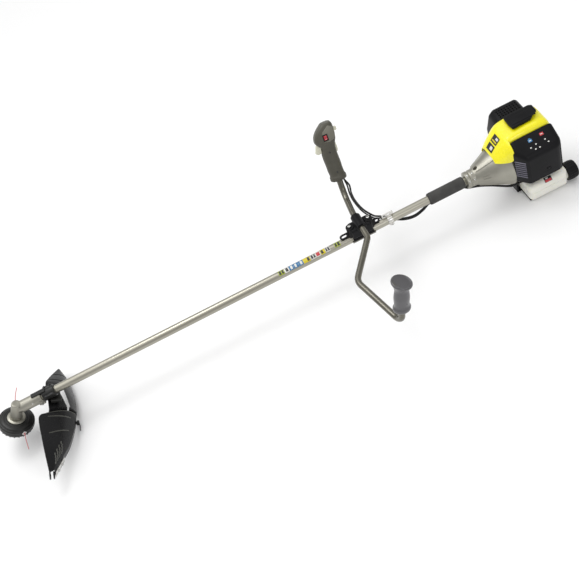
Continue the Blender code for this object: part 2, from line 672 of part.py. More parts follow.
def clutch(aluminium, steel, lining):
    housing = [
        (1.448, TUBE_RADIUS + GAP), (1.448, 0.0262), (1.4495, 0.0270), (1.4600, 0.0270), (1.4610, 0.0258),
        (1.4630, 0.0258), (1.4640, 0.0270), (1.4770, 0.0270), (1.4800, 0.0290), (1.5765, 0.0742),
        (1.5832, 0.0752), (1.5832, 0.0722), (1.5755, 0.0707), (1.5090, 0.0385), (1.5060, 0.0150), (1.4930, 0.0140),
        (1.4930, TUBE_RADIUS + GAP),
    ]
    turned("clutch_housing", housing, aluminium, shaft_frame(0), 26, hollow=True)

    drum = [
        (1.4945, 0.0110), (1.5280, 0.0120), (1.5290, 0.0385), (1.5560, 0.0390), (1.5560, 0.0365), (1.5315, 0.0365),
        (1.5315, 0.0060), (1.5275, 0.0060), (1.5275, 0.0043), (1.4945, 0.0043),
    ]
    turned("clutch_drum", drum, steel, shaft_frame(0), 22, hollow=True)

    for number, middle in ((1, pi / 2), (2, -pi / 2)):
        outline = []
        for radius, order in ((0.0348, 1), (0.0150, -1)):
            for i in range(9):
                angle = middle + order * radians(-72 + 144 * i / 8)
                outline.append((radius * cos(angle), radius * sin(angle)))
        plate(f"clutch_shoe_{number}", outline, 1.5360, 1.5520, lining, shaft_frame(0))


def crank_train(aluminium, steel):
    case = block("crankcase", (1.5865, -0.044, -0.050), (1.6550, 0.044, 0.034), aluminium, bevel=0.005)
    cut(
        case,
        rod("crank_room", 0.0320, (1.6020, 0, 0), (1.6465, 0, 0), 22),
        rod("crank_journals", 0.0064, (1.58, 0, 0), (1.67, 0, 0), 16),
        rod("crank_throat", 0.0205, (CRANK_X, 0, 0), (CRANK_X, 0, 0.05), 20),
    )

    shaft_part = turned(
        "crankshaft", [(1.5330, 0.0115), (1.5530, 0.0115), (1.5530, 0.0060), (1.6160, 0.0060)],
        steel, shaft_frame(0), 20,
    )
    rear = turned("crank_rear", [(1.6330, 0.0060), (1.7080, 0.0060)], None, shaft_frame(0), 20)
    crank_pin = rod("crank_pin", 0.0050, (1.6100, 0, 0.0140), (1.6380, 0, 0.0140), 16)
    webs = [
        rod(f"crank_web_{side}", 0.0265, (start, 0, 0), (start + 0.009, 0, 0), 20)
        for side, start in (("front", 1.6070), ("rear", 1.6320))
    ]
    join(shaft_part, webs[0], rear, webs[1], crank_pin)

    rod_place = frame((1.6215, 0, 0), (1, 0, 0), (0, 1, 0))
    conrod = turned(
        "connecting_rod", [(0, 0.0053), (0, 0.0100), (0.005, 0.0100), (0.005, 0.0053)], steel,
        rod_place @ Matrix.Translation((0, 0.014, 0)), 20, hollow=True,
    )
    small_end = turned(
        "rod_small_end", [(0, 0.0045), (0, 0.0080), (0.005, 0.0080), (0.005, 0.0045)], None,
        rod_place @ Matrix.Translation((0, 0.062, 0)), 20, hollow=True,
    )
    beam = box("rod_beam", (1.6215, -0.0045, 0.0215), (1.6265, 0.0045, 0.0560))
    join(conrod, beam, small_end)

    piston = turned("piston", [(0.052, 0.0197), (0.080, 0.0197)], aluminium, Matrix.Translation((CRANK_X, 0, 0)), 20)
    cut(piston, rod("piston_room", 0.0170, (CRANK_X, 0, 0.04), (CRANK_X, 0, 0.077), 20))
    join(piston, rod("gudgeon_pin", 0.0041, (CRANK_X - 0.0180, 0, 0.062), (CRANK_X + 0.0180, 0, 0.062), 14))

    fins = [(0.0345, 0.0205), (0.0345, 0.0290), (0.0375, 0.0290), (0.0375, 0.0250)]
    for number in range(4):
        height = 0.046 + 0.0130 * number
        fins += [(height, 0.0250), (height, 0.0365), (height + 0.003, 0.0365), (height + 0.003, 0.0250)]
    fins += [(0.0960, 0.0250), (0.0980, 0.0220), (0.0980, 0.0065), (0.0860, 0.0065), (0.0860, 0.0205)]
    turned("cylinder", fins, aluminium, Matrix.Translation((CRANK_X, 0, 0)), 20, hollow=True)

    wheel = [(1.6575, 0.0063), (1.6575, 0.0400), (1.6640, 0.0400), (1.6640, 0.0200), (1.6740, 0.0200), (1.6740, 0.0063)]
    turned("flywheel", wheel, aluminium, shaft_frame(0), 22, hollow=True)


def spark_plug(steel):
    turned(
        "spark_plug",
        [(0.0870, 0.0060), (0.0985, 0.0060), (0.0985, 0.0100), (0.1040, 0.0100), (0.1040, 0.0055), (0.1160, 0.0045),
         (0.1190, 0.0030)],
        steel, Matrix.Translation((CRANK_X, 0, 0)), 16,
    )


def starter(black, dark, orange):
    housing = [
        (1.6780, 0.0425), (1.6780, 0.0450), (1.7200, 0.0450), (1.7280, 0.0410), (1.7300, 0.0340), (1.7300, 0.0070),
        (1.7275, 0.0070), (1.7275, 0.0340), (1.7200, 0.0425),
    ]
    shell = turned("starter_housing", housing, black, shaft_frame(0), 22, hollow=True)
    cut(shell, rod("rope_hole", 0.0030, (1.70, 0, -0.030), (1.75, 0, -0.030), 12))
    pulley = [
        (1.7110, 0.0080), (1.7110, 0.0280), (1.7125, 0.0280), (1.7140, 0.0230), (1.7180, 0.0230), (1.7195, 0.0280),
        (1.7210, 0.0280), (1.7210, 0.0080),
    ]
    turned("starter_pulley", pulley, orange, shaft_frame(0), 20, hollow=True)
    block("starter_grip", (1.7318, -0.019, -0.0375), (1.7450, 0.019, -0.0225), dark, bevel=0.004)


FILLER_AT = (-0.060, -0.1060)


def fuel_system(black, ivory, dark, lining, red):
    tank = block("fuel_tank", (1.6120, -0.086, -0.1360), (1.7420, 0.058, -0.0680), ivory, bevel=0.014, segments=3)
    neck = rod("tank_neck", 0.0200, (1.7350, *FILLER_AT), (1.7570, *FILLER_AT))
    join(tank, neck)
    cut(
        tank,
        block("tank_room", (1.6145, -0.0835, -0.1335), (1.7395, 0.0555, -0.0705), None, bevel=0.0115, segments=3),
        rod("tank_filler", 0.0170, (1.7300, *FILLER_AT), (1.7600, *FILLER_AT)),
    )
    cap = [(1.7432, 0.0280), (1.7460, 0.0295), (1.7730, 0.0295), (1.7800, 0.0255)]
    cap_frame = shaft_frame(0, *FILLER_AT)
    made = turned("fuel_cap", cap, black, cap_frame, 22)
    cut(made, turned("cap_thread", [(1.7400, 0.0204), (1.7580, 0.0204)], None, cap_frame, 20))

    carburettor = block("carburettor", (1.6270, -0.0940, -0.0200), (1.6680, -0.0465, 0.0300), dark, bevel=0.003)
    cut(
        carburettor,
        rod("primer_room", 0.0095, (1.6510, -0.0760, -0.0240), (1.6510, -0.0760, -0.0114)),
        rod("carb_throat", 0.0080, (1.6600, -0.0730, 0.0120), (1.6800, -0.0730, 0.0120), 16),
        rod("cable_seat", 0.0026, (1.6340, -0.0700, -0.0300), (1.6340, -0.0700, -0.0150), 12),
    )
    turned(
        "primer_bulb", [(-0.0320, 0.0040), (-0.0305, 0.0070), (-0.0260, 0.0085), (-0.0164, 0.0088)],
        red, Matrix.Translation((1.6510, -0.0760, 0)), 20,
    )
    arm = [(-0.004, -0.004), (0.004, -0.004), (0.0045, 0.010), (0.002, 0.0145), (-0.002, 0.0145), (-0.0045, 0.010)]
    plate("throttle_arm", arm, 0.0306, 0.0330, dark, Matrix.Translation((1.6420, -0.0800, 0)))
    block("air_filter_element", (1.6720, -0.0990, -0.0180), (1.7160, -0.0520, 0.0740), lining, bevel=0.004)


def air_filter_cover(black):
    """A deep cover on the operator's left, with a sloping top and a slanted front face."""
    open_side, outer_side = -0.0465, -0.1090
    depth = open_side - outer_side

    def rings(inset, mouth):
        """The outline at the cover's floor and at its top, which falls away outwards."""
        outline = [
            (1.5865 + inset, mouth), (1.6300 + inset * 0.7, outer_side + inset), (1.6980, outer_side + inset),
            (1.7150 - inset * 0.5, -0.1040 + inset), (1.7240 - inset, -0.0900 + inset * 0.5), (1.7260 - inset, mouth),
        ]
        bottom, top_in, top_out = -0.0260 + inset, 0.1110 - inset, 0.0800 - inset
        low = [Vector((x, y, bottom)) for x, y in outline]
        high = [
            Vector((x, y, top_in + (top_out - top_in) * max(0, open_side - y) / depth)) for x, y in outline
        ]
        return [low, high]

    made = solid("air_filter_cover", skin(rings(0, open_side)), black)
    inner = solid("filter_room", skin(rings(0.0025, open_side + 0.0065)), None)
    softened = made.modifiers.new("rounded", "BEVEL")
    softened.width = 0.007
    softened.segments = 2
    softened.limit_method = "ANGLE"
    softened.angle_limit = radians(25)
    cut(
        made, inner,
        rod("cable_way", 0.0032, (1.6340, -0.0700, -0.0300), (1.6340, -0.0700, -0.0200), 12),
        rod("primer_way", 0.0096, (1.6510, -0.0760, -0.0300), (1.6510, -0.0760, -0.0200)),
    )


def choke_lever(black):
    lever = [
        (-0.006, 0.006), (-0.006, -0.004), (-0.0035, -0.018), (-0.006, -0.026), (0.006, -0.026), (0.0035, -0.018),
        (0.006, -0.004), (0.006, 0.006),
    ]
    plate("choke_lever", lever, -0.0302, -0.0268, black, Matrix.Translation((1.6900, -0.0780, 0)))


def exhaust(steel, black):
    muffler = block("muffler", (1.5990, 0.0560, -0.0050), (1.6920, 0.0980, 0.0780), steel, bevel=0.008)
    cut(
        muffler,
        block("muffler_room", (1.6002, 0.0572, -0.0038), (1.6908, 0.0968, 0.0768), None, bevel=0.0068),
        rod("exhaust_port", 0.0080, (CRANK_X + 0.018, 0.050, 0.060), (CRANK_X + 0.018, 0.060, 0.060), 16),
    )
    shell = block("muffler_guard", (1.5865, 0.0535, -0.0420), (1.7000, 0.1100, 0.1130), black, bevel=0.018)
    cut(shell, block("guard_room", (1.5890, 0.0100, -0.0395), (1.6975, 0.1075, 0.1105), None, bevel=0.0155))


def hood(yellow, black):
    """The yellow cover: arches that widen from the clutch cone and close down at the rear."""
    arches = [
        # x, left half width, right half width, top, lower edge, corner radius
        (1.5350, 0.048, 0.052, 0.0660, 0.046, 0.030), (1.5520, 0.060, 0.063, 0.0860, 0.042, 0.034),
        (1.5760, 0.073, 0.073, 0.1100, 0.038, 0.036), (1.5852, 0.075, 0.0740, 0.1165, 0.038, 0.030),
        (1.5858, 0.044, 0.0510, 0.1170, 0.038, 0.018), (1.6040, 0.044, 0.0510, 0.1230, 0.038, 0.018),
        (1.6500, 0.044, 0.0510, 0.1270, 0.038, 0.018), (1.6950, 0.044, 0.0510, 0.1250, 0.038, 0.018),
        (1.7160, 0.044, 0.0510, 0.1170, 0.038, 0.020), (1.7260, 0.041, 0.0480, 0.1000, 0.038, 0.024),
    ]
    rows = []
    for x, left, right, top, low, round_off in arches:
        row = [Vector((x, -left, low))]
        for side, reach in ((-1, left), (1, right)):
            steps = range(4) if side < 0 else range(3, -1, -1)
            for i in steps:
                angle = pi / 2 * i / 3
                row.append(Vector((
                    x, side * (reach - round_off + round_off * cos(angle)), top - round_off + round_off * sin(angle),
                )))
        row.append(Vector((x, right, low)))
        rows.append(row)
    made = solid("engine_cover", skin(rows, closed_rings=False, caps=False), yellow)
    wall = made.modifiers.new("wall", "SOLIDIFY")
    wall.thickness = 0.0022
    wall.offset = -1

    outline = [
        (1.6140, 0.034), (1.6120, 0.000), (1.6150, -0.022), (1.6760, -0.020), (1.6920, -0.004), (1.7060, 0.000),
        (1.7060, 0.028), (1.6960, 0.034),
    ]
    plate("top_cap", outline, 0.1285, 0.1385, black)


def stand(black):
    made = block("engine_stand", (1.6003, -0.018, -0.1380), (1.6083, 0.040, -0.0505), black, bevel=0.002)
    foot = block("stand_foot", (1.6003, -0.018, GROUND_Z), (1.6600, 0.056, -0.1365), None, bevel=0.0012)
    foot_under_tank = block("stand_foot_left", (1.6150, -0.072, GROUND_Z), (1.6600, -0.010, -0.1365), None, bevel=0.0012)
    join(made, foot, foot_under_tank)


# Assembly

aluminium = finish("cast_aluminium", (0.52, 0.51, 0.47), 0.42, 0.9)
steel = finish("bright_steel", (0.62, 0.62, 0.60), 0.28, 1.0)
grey_paint = finish("silver_tube", (0.42, 0.40, 0.34), 0.35, 0.85)
bronze = finish("bronze_grey_bar", (0.20, 0.19, 0.17), 0.38, 0.7)
grip_grey = finish("grip_grey", (0.13, 0.125, 0.105), 0.55)
soft_grey = finish("soft_grip_grey", (0.16, 0.155, 0.15), 0.6)
black = finish("black_moulding", (0.018, 0.018, 0.02), 0.45)
foam = finish("foam_grey", (0.05, 0.05, 0.05), 0.9)
yellow = finish("yellow_moulding", (0.83, 0.78, 0.02), 0.3)
ivory = finish("ivory_plastic", (0.80, 0.79, 0.68), 0.35)
red = finish("red_plastic", (0.60, 0.03, 0.05), 0.4)
orange = finish("spool_plastic", (0.55, 0.18, 0.03), 0.5)
nylon = finish("nylon_bush", (0.70, 0.68, 0.60), 0.6)

gear_case(aluminium)
gears(steel)
cutting_head(steel, black, orange, red)
guard(black, steel)
shaft(grey_paint, steel, nylon)
clamp(bronze, black)
handlebar(bronze)
left_grip(soft_grey)
throttle(grip_grey, ivory, red)
cables(black)
hanger_and_foam(steel, foam)
clutch(aluminium, steel, nylon)
crank_train(aluminium, steel)
spark_plug(steel)
starter(black, grip_grey, orange)
fuel_system(black, ivory, aluminium, foam, red)
air_filter_cover(black)
choke_lever(black)
exhaust(steel, black)
hood(yellow, black)
stand(black)
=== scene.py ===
"""A petrol string trimmer with a bike handle: its looks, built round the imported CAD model.

Sizes are given in the machine's own frame: X runs along the shaft from the open end of the gear
case sleeve, +Y is the operator's right and +Z is up, with Y = Z = 0 on the shaft's axis.
MACHINE moves that frame to where the CAD model stands.
"""

import json
from math import asin, cos, pi, radians, sin, tan

import bmesh
import bpy
from mathutils import Matrix, Vector

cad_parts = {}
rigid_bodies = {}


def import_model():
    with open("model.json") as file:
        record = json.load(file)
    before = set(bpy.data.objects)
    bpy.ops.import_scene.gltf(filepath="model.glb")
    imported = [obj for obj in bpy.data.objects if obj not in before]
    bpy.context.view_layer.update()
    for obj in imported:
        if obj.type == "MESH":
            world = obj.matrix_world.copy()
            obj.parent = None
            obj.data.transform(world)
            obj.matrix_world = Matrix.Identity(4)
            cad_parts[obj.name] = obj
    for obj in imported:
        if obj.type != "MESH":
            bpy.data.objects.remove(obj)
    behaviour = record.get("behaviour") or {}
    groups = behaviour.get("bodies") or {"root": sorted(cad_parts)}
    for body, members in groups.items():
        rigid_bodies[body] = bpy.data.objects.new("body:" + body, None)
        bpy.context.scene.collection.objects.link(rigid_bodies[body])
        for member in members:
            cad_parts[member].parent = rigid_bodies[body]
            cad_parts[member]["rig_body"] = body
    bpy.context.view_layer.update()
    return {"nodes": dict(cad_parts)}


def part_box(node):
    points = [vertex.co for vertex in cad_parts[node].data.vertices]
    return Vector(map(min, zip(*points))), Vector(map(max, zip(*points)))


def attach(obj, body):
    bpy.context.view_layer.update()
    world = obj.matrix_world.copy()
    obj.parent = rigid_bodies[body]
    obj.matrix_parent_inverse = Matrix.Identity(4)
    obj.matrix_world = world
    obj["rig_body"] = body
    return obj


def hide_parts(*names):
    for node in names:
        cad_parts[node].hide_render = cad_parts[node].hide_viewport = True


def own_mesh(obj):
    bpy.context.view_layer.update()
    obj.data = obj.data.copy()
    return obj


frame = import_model()


# Camera, lights and floor. The camera stands to the operator's left, high up, rolled so that the
# shaft climbs to the right. The floor is plain and pale, and two broad lamps give soft light.
TUBE_START = -0.048
tube_low, tube_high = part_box("shaft_tube")
MACHINE = Matrix.Translation((
    tube_low.x - TUBE_START, (tube_low.y + tube_high.y) / 2, (tube_low.z + tube_high.z) / 2,
))

camera_pitch, camera_roll, camera_distance = radians(41.0), radians(26.95), 2.8
look_at = Vector((0.8203, -0.0393, -0.0342))
across = Vector((1, 0, 0))
away = Vector((0, cos(camera_pitch), sin(camera_pitch)))
backward = Vector((0, -sin(camera_pitch), cos(camera_pitch)))
camera_right = cos(camera_roll) * across - sin(camera_roll) * away
camera_up = sin(camera_roll) * across + cos(camera_roll) * away
camera = bpy.data.objects.new("camera", bpy.data.cameras.new("camera"))
camera.data.sensor_width = 36
camera.data.lens = 57.08
camera.data.clip_end = 30
camera_place = Matrix((camera_right, camera_up, backward)).transposed().to_4x4()
camera_place.translation = look_at + camera_distance * backward
camera.matrix_world = MACHINE @ camera_place
bpy.context.scene.collection.objects.link(camera)
bpy.context.scene.camera = camera

for lamp_name, lamp_at, lamp_size, lamp_power in (
    ("key_lamp", (-0.7, 0.9, 2.6), 1.1, 17), ("side_lamp", (0.9, -2.0, 1.5), 0.8, 6),
):
    lamp = bpy.data.objects.new(lamp_name, bpy.data.lights.new(lamp_name, "AREA"))
    lamp.data.energy = lamp_power
    lamp.data.size = lamp_size
    lamp.location = lamp_at
    lamp.rotation_euler = (Vector((0, 0, 0.2)) - Vector(lamp_at)).to_track_quat("-Z", "Y").to_euler()
    bpy.context.scene.collection.objects.link(lamp)

sky = bpy.data.objects.new("overhead_lamp", bpy.data.lights.new("overhead_lamp", "SUN"))
sky.data.energy = 1.15
sky.data.angle = radians(80)
sky.rotation_euler = (radians(-12), radians(-14), 0)
bpy.context.scene.collection.objects.link(sky)

world = bpy.data.worlds.new("studio")
world.use_nodes = True
world.node_tree.nodes["Background"].inputs["Color"].default_value = (1.0, 1.0, 1.0, 1)
world.node_tree.nodes["Background"].inputs["Strength"].default_value = 0.62
bpy.context.scene.world = world
bpy.context.scene.view_settings.view_transform = "Standard"

bpy.ops.mesh.primitive_plane_add(size=40)
floor = bpy.context.object
floor.name = "floor"
floor_paint = bpy.data.materials.new("floor_paint")
floor_paint.use_nodes = True
floor_paint.node_tree.nodes["Principled BSDF"].inputs["Base Color"].default_value = (0.93, 0.93, 0.93, 1)
floor_paint.node_tree.nodes["Principled BSDF"].inputs["Roughness"].default_value = 0.9
floor.data.materials.append(floor_paint)


# Gear case: an aluminium casting, blasted and left bare. An upright barrel holds the bevel gears,
# a sleeve takes the tube, and a split lug under the sleeve is pinched on it by one bolt.
def finish(
    name, colour, roughness, metallic=0.0, grain=900.0, bump=0.05, mottle=0.12, stretch=(1, 1, 1), coat=0.0,
    second=None, patch=14.0, shine=0.5,
):
    """A material with mottled colour, a roughness that wanders a little, and a fine grain."""
    made = bpy.data.materials.new(name)
    made.use_nodes = True
    made.diffuse_color = (*colour, 1)
    nodes, links = made.node_tree.nodes, made.node_tree.links
    shader = nodes["Principled BSDF"]
    shader.inputs["Metallic"].default_value = metallic
    shader.inputs["Coat Weight"].default_value = coat
    shader.inputs["Coat Roughness"].default_value = 0.12
    shader.inputs["Specular IOR Level"].default_value = shine
    place = nodes.new("ShaderNodeTexCoord")
    mapping = nodes.new("ShaderNodeMapping")
    mapping.inputs["Scale"].default_value = stretch
    links.new(place.outputs["Object"], mapping.inputs["Vector"])

    def cloud(scale, detail):
        noise = nodes.new("ShaderNodeTexNoise")
        noise.inputs["Scale"].default_value = scale
        noise.inputs["Detail"].default_value = detail
        links.new(mapping.outputs["Vector"], noise.inputs["Vector"])
        return noise.outputs["Fac"]

    blotches = cloud(patch, 4)
    shade = nodes.new("ShaderNodeValToRGB")
    darker = second or tuple(channel * (1 - mottle) for channel in colour)
    lighter = tuple(min(1.0, channel * (1 + mottle)) for channel in colour)
    shade.color_ramp.elements[0].position, shade.color_ramp.elements[1].position = 0.35, 0.65
    shade.color_ramp.elements[0].color, shade.color_ramp.elements[1].color = (*darker, 1), (*lighter, 1)
    links.new(blotches, shade.inputs["Fac"])
    links.new(shade.outputs["Color"], shader.inputs["Base Color"])
    rub = nodes.new("ShaderNodeMapRange")
    rub.inputs["To Min"].default_value = max(0.02, roughness - 0.07)
    rub.inputs["To Max"].default_value = min(1.0, roughness + 0.07)
    links.new(cloud(patch * 4, 3), rub.inputs["Value"])
    links.new(rub.outputs["Result"], shader.inputs["Roughness"])
    if bump:
        relief = nodes.new("ShaderNodeBump")
        relief.inputs["Strength"].default_value = bump
        relief.inputs["Distance"].default_value = 0.0006
        links.new(cloud(grain, 2), relief.inputs["Height"])
        links.new(relief.outputs["Normal"], shader.inputs["Normal"])
    return made


def axis_frame(origin, z_axis, x_hint):
    """A place whose Z column is z_axis, with X as near to x_hint as it can be."""
    z_axis = Vector(z_axis).normalized()
    y_axis = z_axis.cross(Vector(x_hint)).normalized()
    place = Matrix((y_axis.cross(z_axis), y_axis, z_axis)).transposed().to_4x4()
    place.translation = Vector(origin)
    return place


def along_shaft(x, y=0.0, z=0.0):
    return axis_frame((x, y, z), (1, 0, 0), (0, 1, 0))


def placed(name, built, place, material, smooth=32):
    """Makes an object of a bmesh, with its place in its mesh and its faces outwards."""
    bmesh.ops.remove_doubles(built, verts=built.verts, dist=1e-7)
    bmesh.ops.recalc_face_normals(built, faces=built.faces)
    mesh = bpy.data.meshes.new(name)
    built.to_mesh(mesh)
    built.free()
    mesh.transform(MACHINE @ place)
    mesh.shade_smooth()
    mesh.set_sharp_from_angle(angle=radians(smooth))
    if material:
        mesh.materials.append(material)
    made = bpy.data.objects.new(name, mesh)
    bpy.context.scene.collection.objects.link(made)
    return made


def skinned(rings, ends=True, loop=False, open_rows=False):
    """Faces from each ring of points to the next, and over the first and last."""
    built = bmesh.new()
    rows = [[built.verts.new(point) for point in ring] for ring in rings]
    for low, high in list(zip(rows, rows[1:])) + ([(rows[-1], rows[0])] if loop else []):
        for i in range(len(low) - (1 if open_rows else 0)):
            j = (i + 1) % len(low)
            built.faces.new((low[i], low[j], high[j], high[i]))
    if ends and not loop:
        built.faces.new(rows[0])
        built.faces.new(rows[-1])
    return built


def eased(profile, radius, loop=False):
    """The profile with each corner rounded by a short curve of four points."""
    count = len(profile)
    points = []
    for i, (height, out) in enumerate(profile):
        if not loop and i in (0, count - 1):
            points.append((height, out))
            continue
        here = Vector((height, out))
        before, after = Vector(profile[i - 1]), Vector(profile[(i + 1) % count])
        first = here + (before - here) * min(0.45, radius / max((before - here).length, 1e-9))
        last = here + (after - here) * min(0.45, radius / max((after - here).length, 1e-9))
        for t in (0, 0.33, 0.67, 1):
            points.append(tuple(first * (1 - t) ** 2 + here * 2 * t * (1 - t) + last * t**2))
    return points


def turned(name, profile, place, material, steps=96, loop=False, ease=0.0006):
    """A turned piece, its profile given as (height, radius) and its corners eased."""
    rings = [
        [(radius * cos(2 * pi * i / steps), radius * sin(2 * pi * i / steps), height) for i in range(steps)]
        for height, radius in (eased(profile, ease, loop) if ease else profile)
    ]
    return placed(name, skinned(rings, loop=loop), place, material)


def block(name, low, high, place, material=None, bevel=0.001, segments=4):
    """A box with rounded edges."""
    built = bmesh.new()
    bmesh.ops.create_cube(built, size=1)
    bmesh.ops.scale(built, vec=Vector(high) - Vector(low), verts=built.verts)
    bmesh.ops.translate(built, vec=(Vector(high) + Vector(low)) / 2, verts=built.verts)
    if bevel:
        bmesh.ops.bevel(
            built, geom=built.edges[:], offset=bevel, segments=segments, profile=0.5, affect="EDGES"
        )
    return placed(name, built, place, material)


def rod(name, radius, start, end, steps=48):
    """A plain round bar between two points, for joining and cutting."""
    direction = Vector(end) - Vector(start)
    hint = (0, 1, 0) if abs(direction.normalized().y) < 0.9 else (1, 0, 0)
    profile = [(0, radius), (direction.length, radius)]
    return turned(name, profile, axis_frame(start, direction, hint), None, steps, ease=0)


def settled(made):
    """Applies the modifiers of an object to its mesh."""
    graph = bpy.context.evaluated_depsgraph_get()
    mesh = bpy.data.meshes.new_from_object(made.evaluated_get(graph), depsgraph=graph)
    made.modifiers.clear()
    made.data = mesh
    return made


def edges_eased(made, width, segments, angle=30):
    """Rounds the edges at which a piece turns by more than the angle."""
    easing = made.modifiers.new("eased", "BEVEL")
    easing.width, easing.segments = width, segments
    easing.limit_method, easing.angle_limit = "ANGLE", radians(angle)
    return settled(made)


def combined(made, operation, others):
    """Joins pieces to a piece, or cuts them from it, and removes them."""
    for other in others:
        modifier = made.modifiers.new(other.name, "BOOLEAN")
        modifier.operation, modifier.object, modifier.solver = operation, other, "EXACT"
    settled(made)
    for other in others:
        bpy.data.objects.remove(other)
    return made


def resmoothed(made, angle=32):
    made.data.shade_smooth()
    made.data.set_sharp_from_angle(angle=radians(angle))
    return made


def moulded(made, voxel, passes=6):
    """Runs the pieces of a casting or a moulding into one skin with soft inner corners."""
    skin = made.modifiers.new("one_skin", "REMESH")
    skin.mode, skin.voxel_size, skin.use_smooth_shade = "VOXEL", voxel, True
    soft = made.modifiers.new("soft_corners", "SMOOTH")
    soft.factor, soft.iterations = 0.5, passes
    return settled(made)


def ride(body, *pieces):
    for piece in pieces:
        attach(piece, body)


HEAD_TILT = radians(29.6)
HEAD_X = -0.088
HEAD_UP = Vector((sin(HEAD_TILT), 0, cos(HEAD_TILT)))
HEAD_BACK = Vector((cos(HEAD_TILT), 0, -sin(HEAD_TILT)))
HEAD = axis_frame((HEAD_X, 0, 0), HEAD_UP, HEAD_BACK)
HERE = Matrix.Identity(4)

cast_aluminium = finish(
    "cast_aluminium", (0.37, 0.36, 0.31), 0.40, 0.88, grain=1400, bump=0.10, mottle=0.10,
    second=(0.30, 0.29, 0.25)
)
case_profile = [
    (-0.0338, 0.0100), (-0.0338, 0.0182), (-0.0285, 0.0182), (0.0190, 0.0156), (0.0245, 0.0150),
    (0.0262, 0.0130), (0.0272, 0.0060),
]
case = turned("gear_case", case_profile, HEAD, None, ease=0.001)
case_sleeve = turned(
    "case_sleeve",
    [(0.000, 0.0150), (0.004, 0.0150), (0.022, 0.0190), (-HEAD_X - 0.001, 0.0190), (-HEAD_X, 0.0180)],
    along_shaft(HEAD_X), None, ease=0.001,
)
case_lug = block("case_lug", (-0.022, -0.0085, -0.0285), (-0.0005, 0.0085, -0.010), HERE, bevel=0.003)
case_rib = block("case_rib", (-0.070, -0.0022, -0.0200), (-0.030, 0.0022, -0.0120), HERE, bevel=0.001)
combined(case, "UNION", [case_sleeve, case_lug, case_rib])
moulded(case, 0.0008, 5)
combined(
    case, "DIFFERENCE",
    [block("case_split", (-0.030, -0.0009, -0.040), (0.010, 0.0009, -0.012), HERE, bevel=0)],
)
case.data.materials.append(cast_aluminium)
resmoothed(case, 40)
case_cap = turned(
    "gear_case_cap",
    [(0.0262, 0.0008), (0.0262, 0.0132), (0.0276, 0.0130), (0.0279, 0.0118), (0.0281, 0.0008)], HEAD,
    cast_aluminium, loop=True, ease=0.0003,
)
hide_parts("gearcase")
ride("machine", case, case_cap)


# Screws: socket screws of bright zinc plated steel. One screw is modelled at unit size, and a
# node tree sets a copy of it at every seat of a group, turned to the seat's direction.
zinc = finish("zinc_plate", (0.60, 0.60, 0.58), 0.26, 1.0, grain=2200, bump=0.03, mottle=0.08)
black_steel = finish("blackened_steel", (0.055, 0.055, 0.058), 0.34, 0.8, grain=2200, bump=0.03)


def tree_of(name, sockets):
    """A node tree with named inputs, and its first and last nodes."""
    tree = bpy.data.node_groups.new(name, "GeometryNodeTree")
    tree.interface.new_socket("Geometry", in_out="OUTPUT", socket_type="NodeSocketGeometry")
    for label, kind in sockets:
        tree.interface.new_socket(label, in_out="INPUT", socket_type=kind)
    return tree, tree.nodes.new("NodeGroupInput"), tree.nodes.new("NodeGroupOutput")


def closed_tree(tree, geometry, given, result):
    """Ends a tree: its instances made real, then its material set."""
    real = tree.nodes.new("GeometryNodeRealizeInstances")
    painted = tree.nodes.new("GeometryNodeSetMaterial")
    tree.links.new(geometry, real.inputs["Geometry"])
    tree.links.new(real.outputs["Geometry"], painted.inputs["Geometry"])
    tree.links.new(given.outputs["Material"], painted.inputs["Material"])
    tree.links.new(painted.outputs["Geometry"], result.inputs["Geometry"])


def grown(name, tree, values, place=HERE, seed_mesh=None, smooth=35):
    """The plain mesh that a tree makes from its named inputs."""
    holder = bpy.data.objects.new(name, seed_mesh or bpy.data.meshes.new(name))
    bpy.context.scene.collection.objects.link(holder)
    modifier = holder.modifiers.new("tree", "NODES")
    modifier.node_group = tree
    for item in tree.interface.items_tree:
        if item.in_out == "INPUT" and item.name in values:
            modifier[item.identifier] = values[item.name]
    settled(holder)
    holder.data.transform(MACHINE @ place)
    return resmoothed(holder, smooth)


def screw_head():
    """One socket screw of unit radius: a drum with an eased rim and a six-sided socket."""
    steps = 36
    rings = []
    for height, radius in eased([(-0.5, 1.0), (0.95, 1.0), (1.0, 0.62)], 0.14):
        rings.append(
            [
                (radius * cos(2 * pi * i / steps), radius * sin(2 * pi * i / steps), height)
                for i in range(steps)
            ]
        )
    for height, radius in ((1.0, 0.56), (0.35, 0.54)):
        ring = []
        for i in range(steps):
            angle = 2 * pi * i / steps
            flat = cos(pi / 6) / cos((angle % (pi / 3)) - pi / 6)
            ring.append((radius * flat * cos(angle), radius * flat * sin(angle), height))
        rings.append(ring)
    made = placed("screw_pattern", skinned(rings), MACHINE.inverted(), None, 30)
    made.hide_render = True
    return made


screw_tree, given, result = tree_of("screws", [
    ("Seats", "NodeSocketGeometry"), ("Screw", "NodeSocketObject"), ("Radius", "NodeSocketFloat"),
    ("Material", "NodeSocketMaterial"),
])
pattern = screw_tree.nodes.new("GeometryNodeObjectInfo")
direction = screw_tree.nodes.new("GeometryNodeInputNamedAttribute")
direction.data_type = "FLOAT_VECTOR"
direction.inputs["Name"].default_value = "direction"
turn = screw_tree.nodes.new("FunctionNodeAlignRotationToVector")
turn.axis = "Z"
setting = screw_tree.nodes.new("GeometryNodeInstanceOnPoints")
screw_tree.links.new(given.outputs["Screw"], pattern.inputs["Object"])
screw_tree.links.new(direction.outputs["Attribute"], turn.inputs["Vector"])
screw_tree.links.new(given.outputs["Seats"], setting.inputs["Points"])
screw_tree.links.new(pattern.outputs["Geometry"], setting.inputs["Instance"])
screw_tree.links.new(turn.outputs["Rotation"], setting.inputs["Rotation"])
screw_tree.links.new(given.outputs["Radius"], setting.inputs["Scale"])
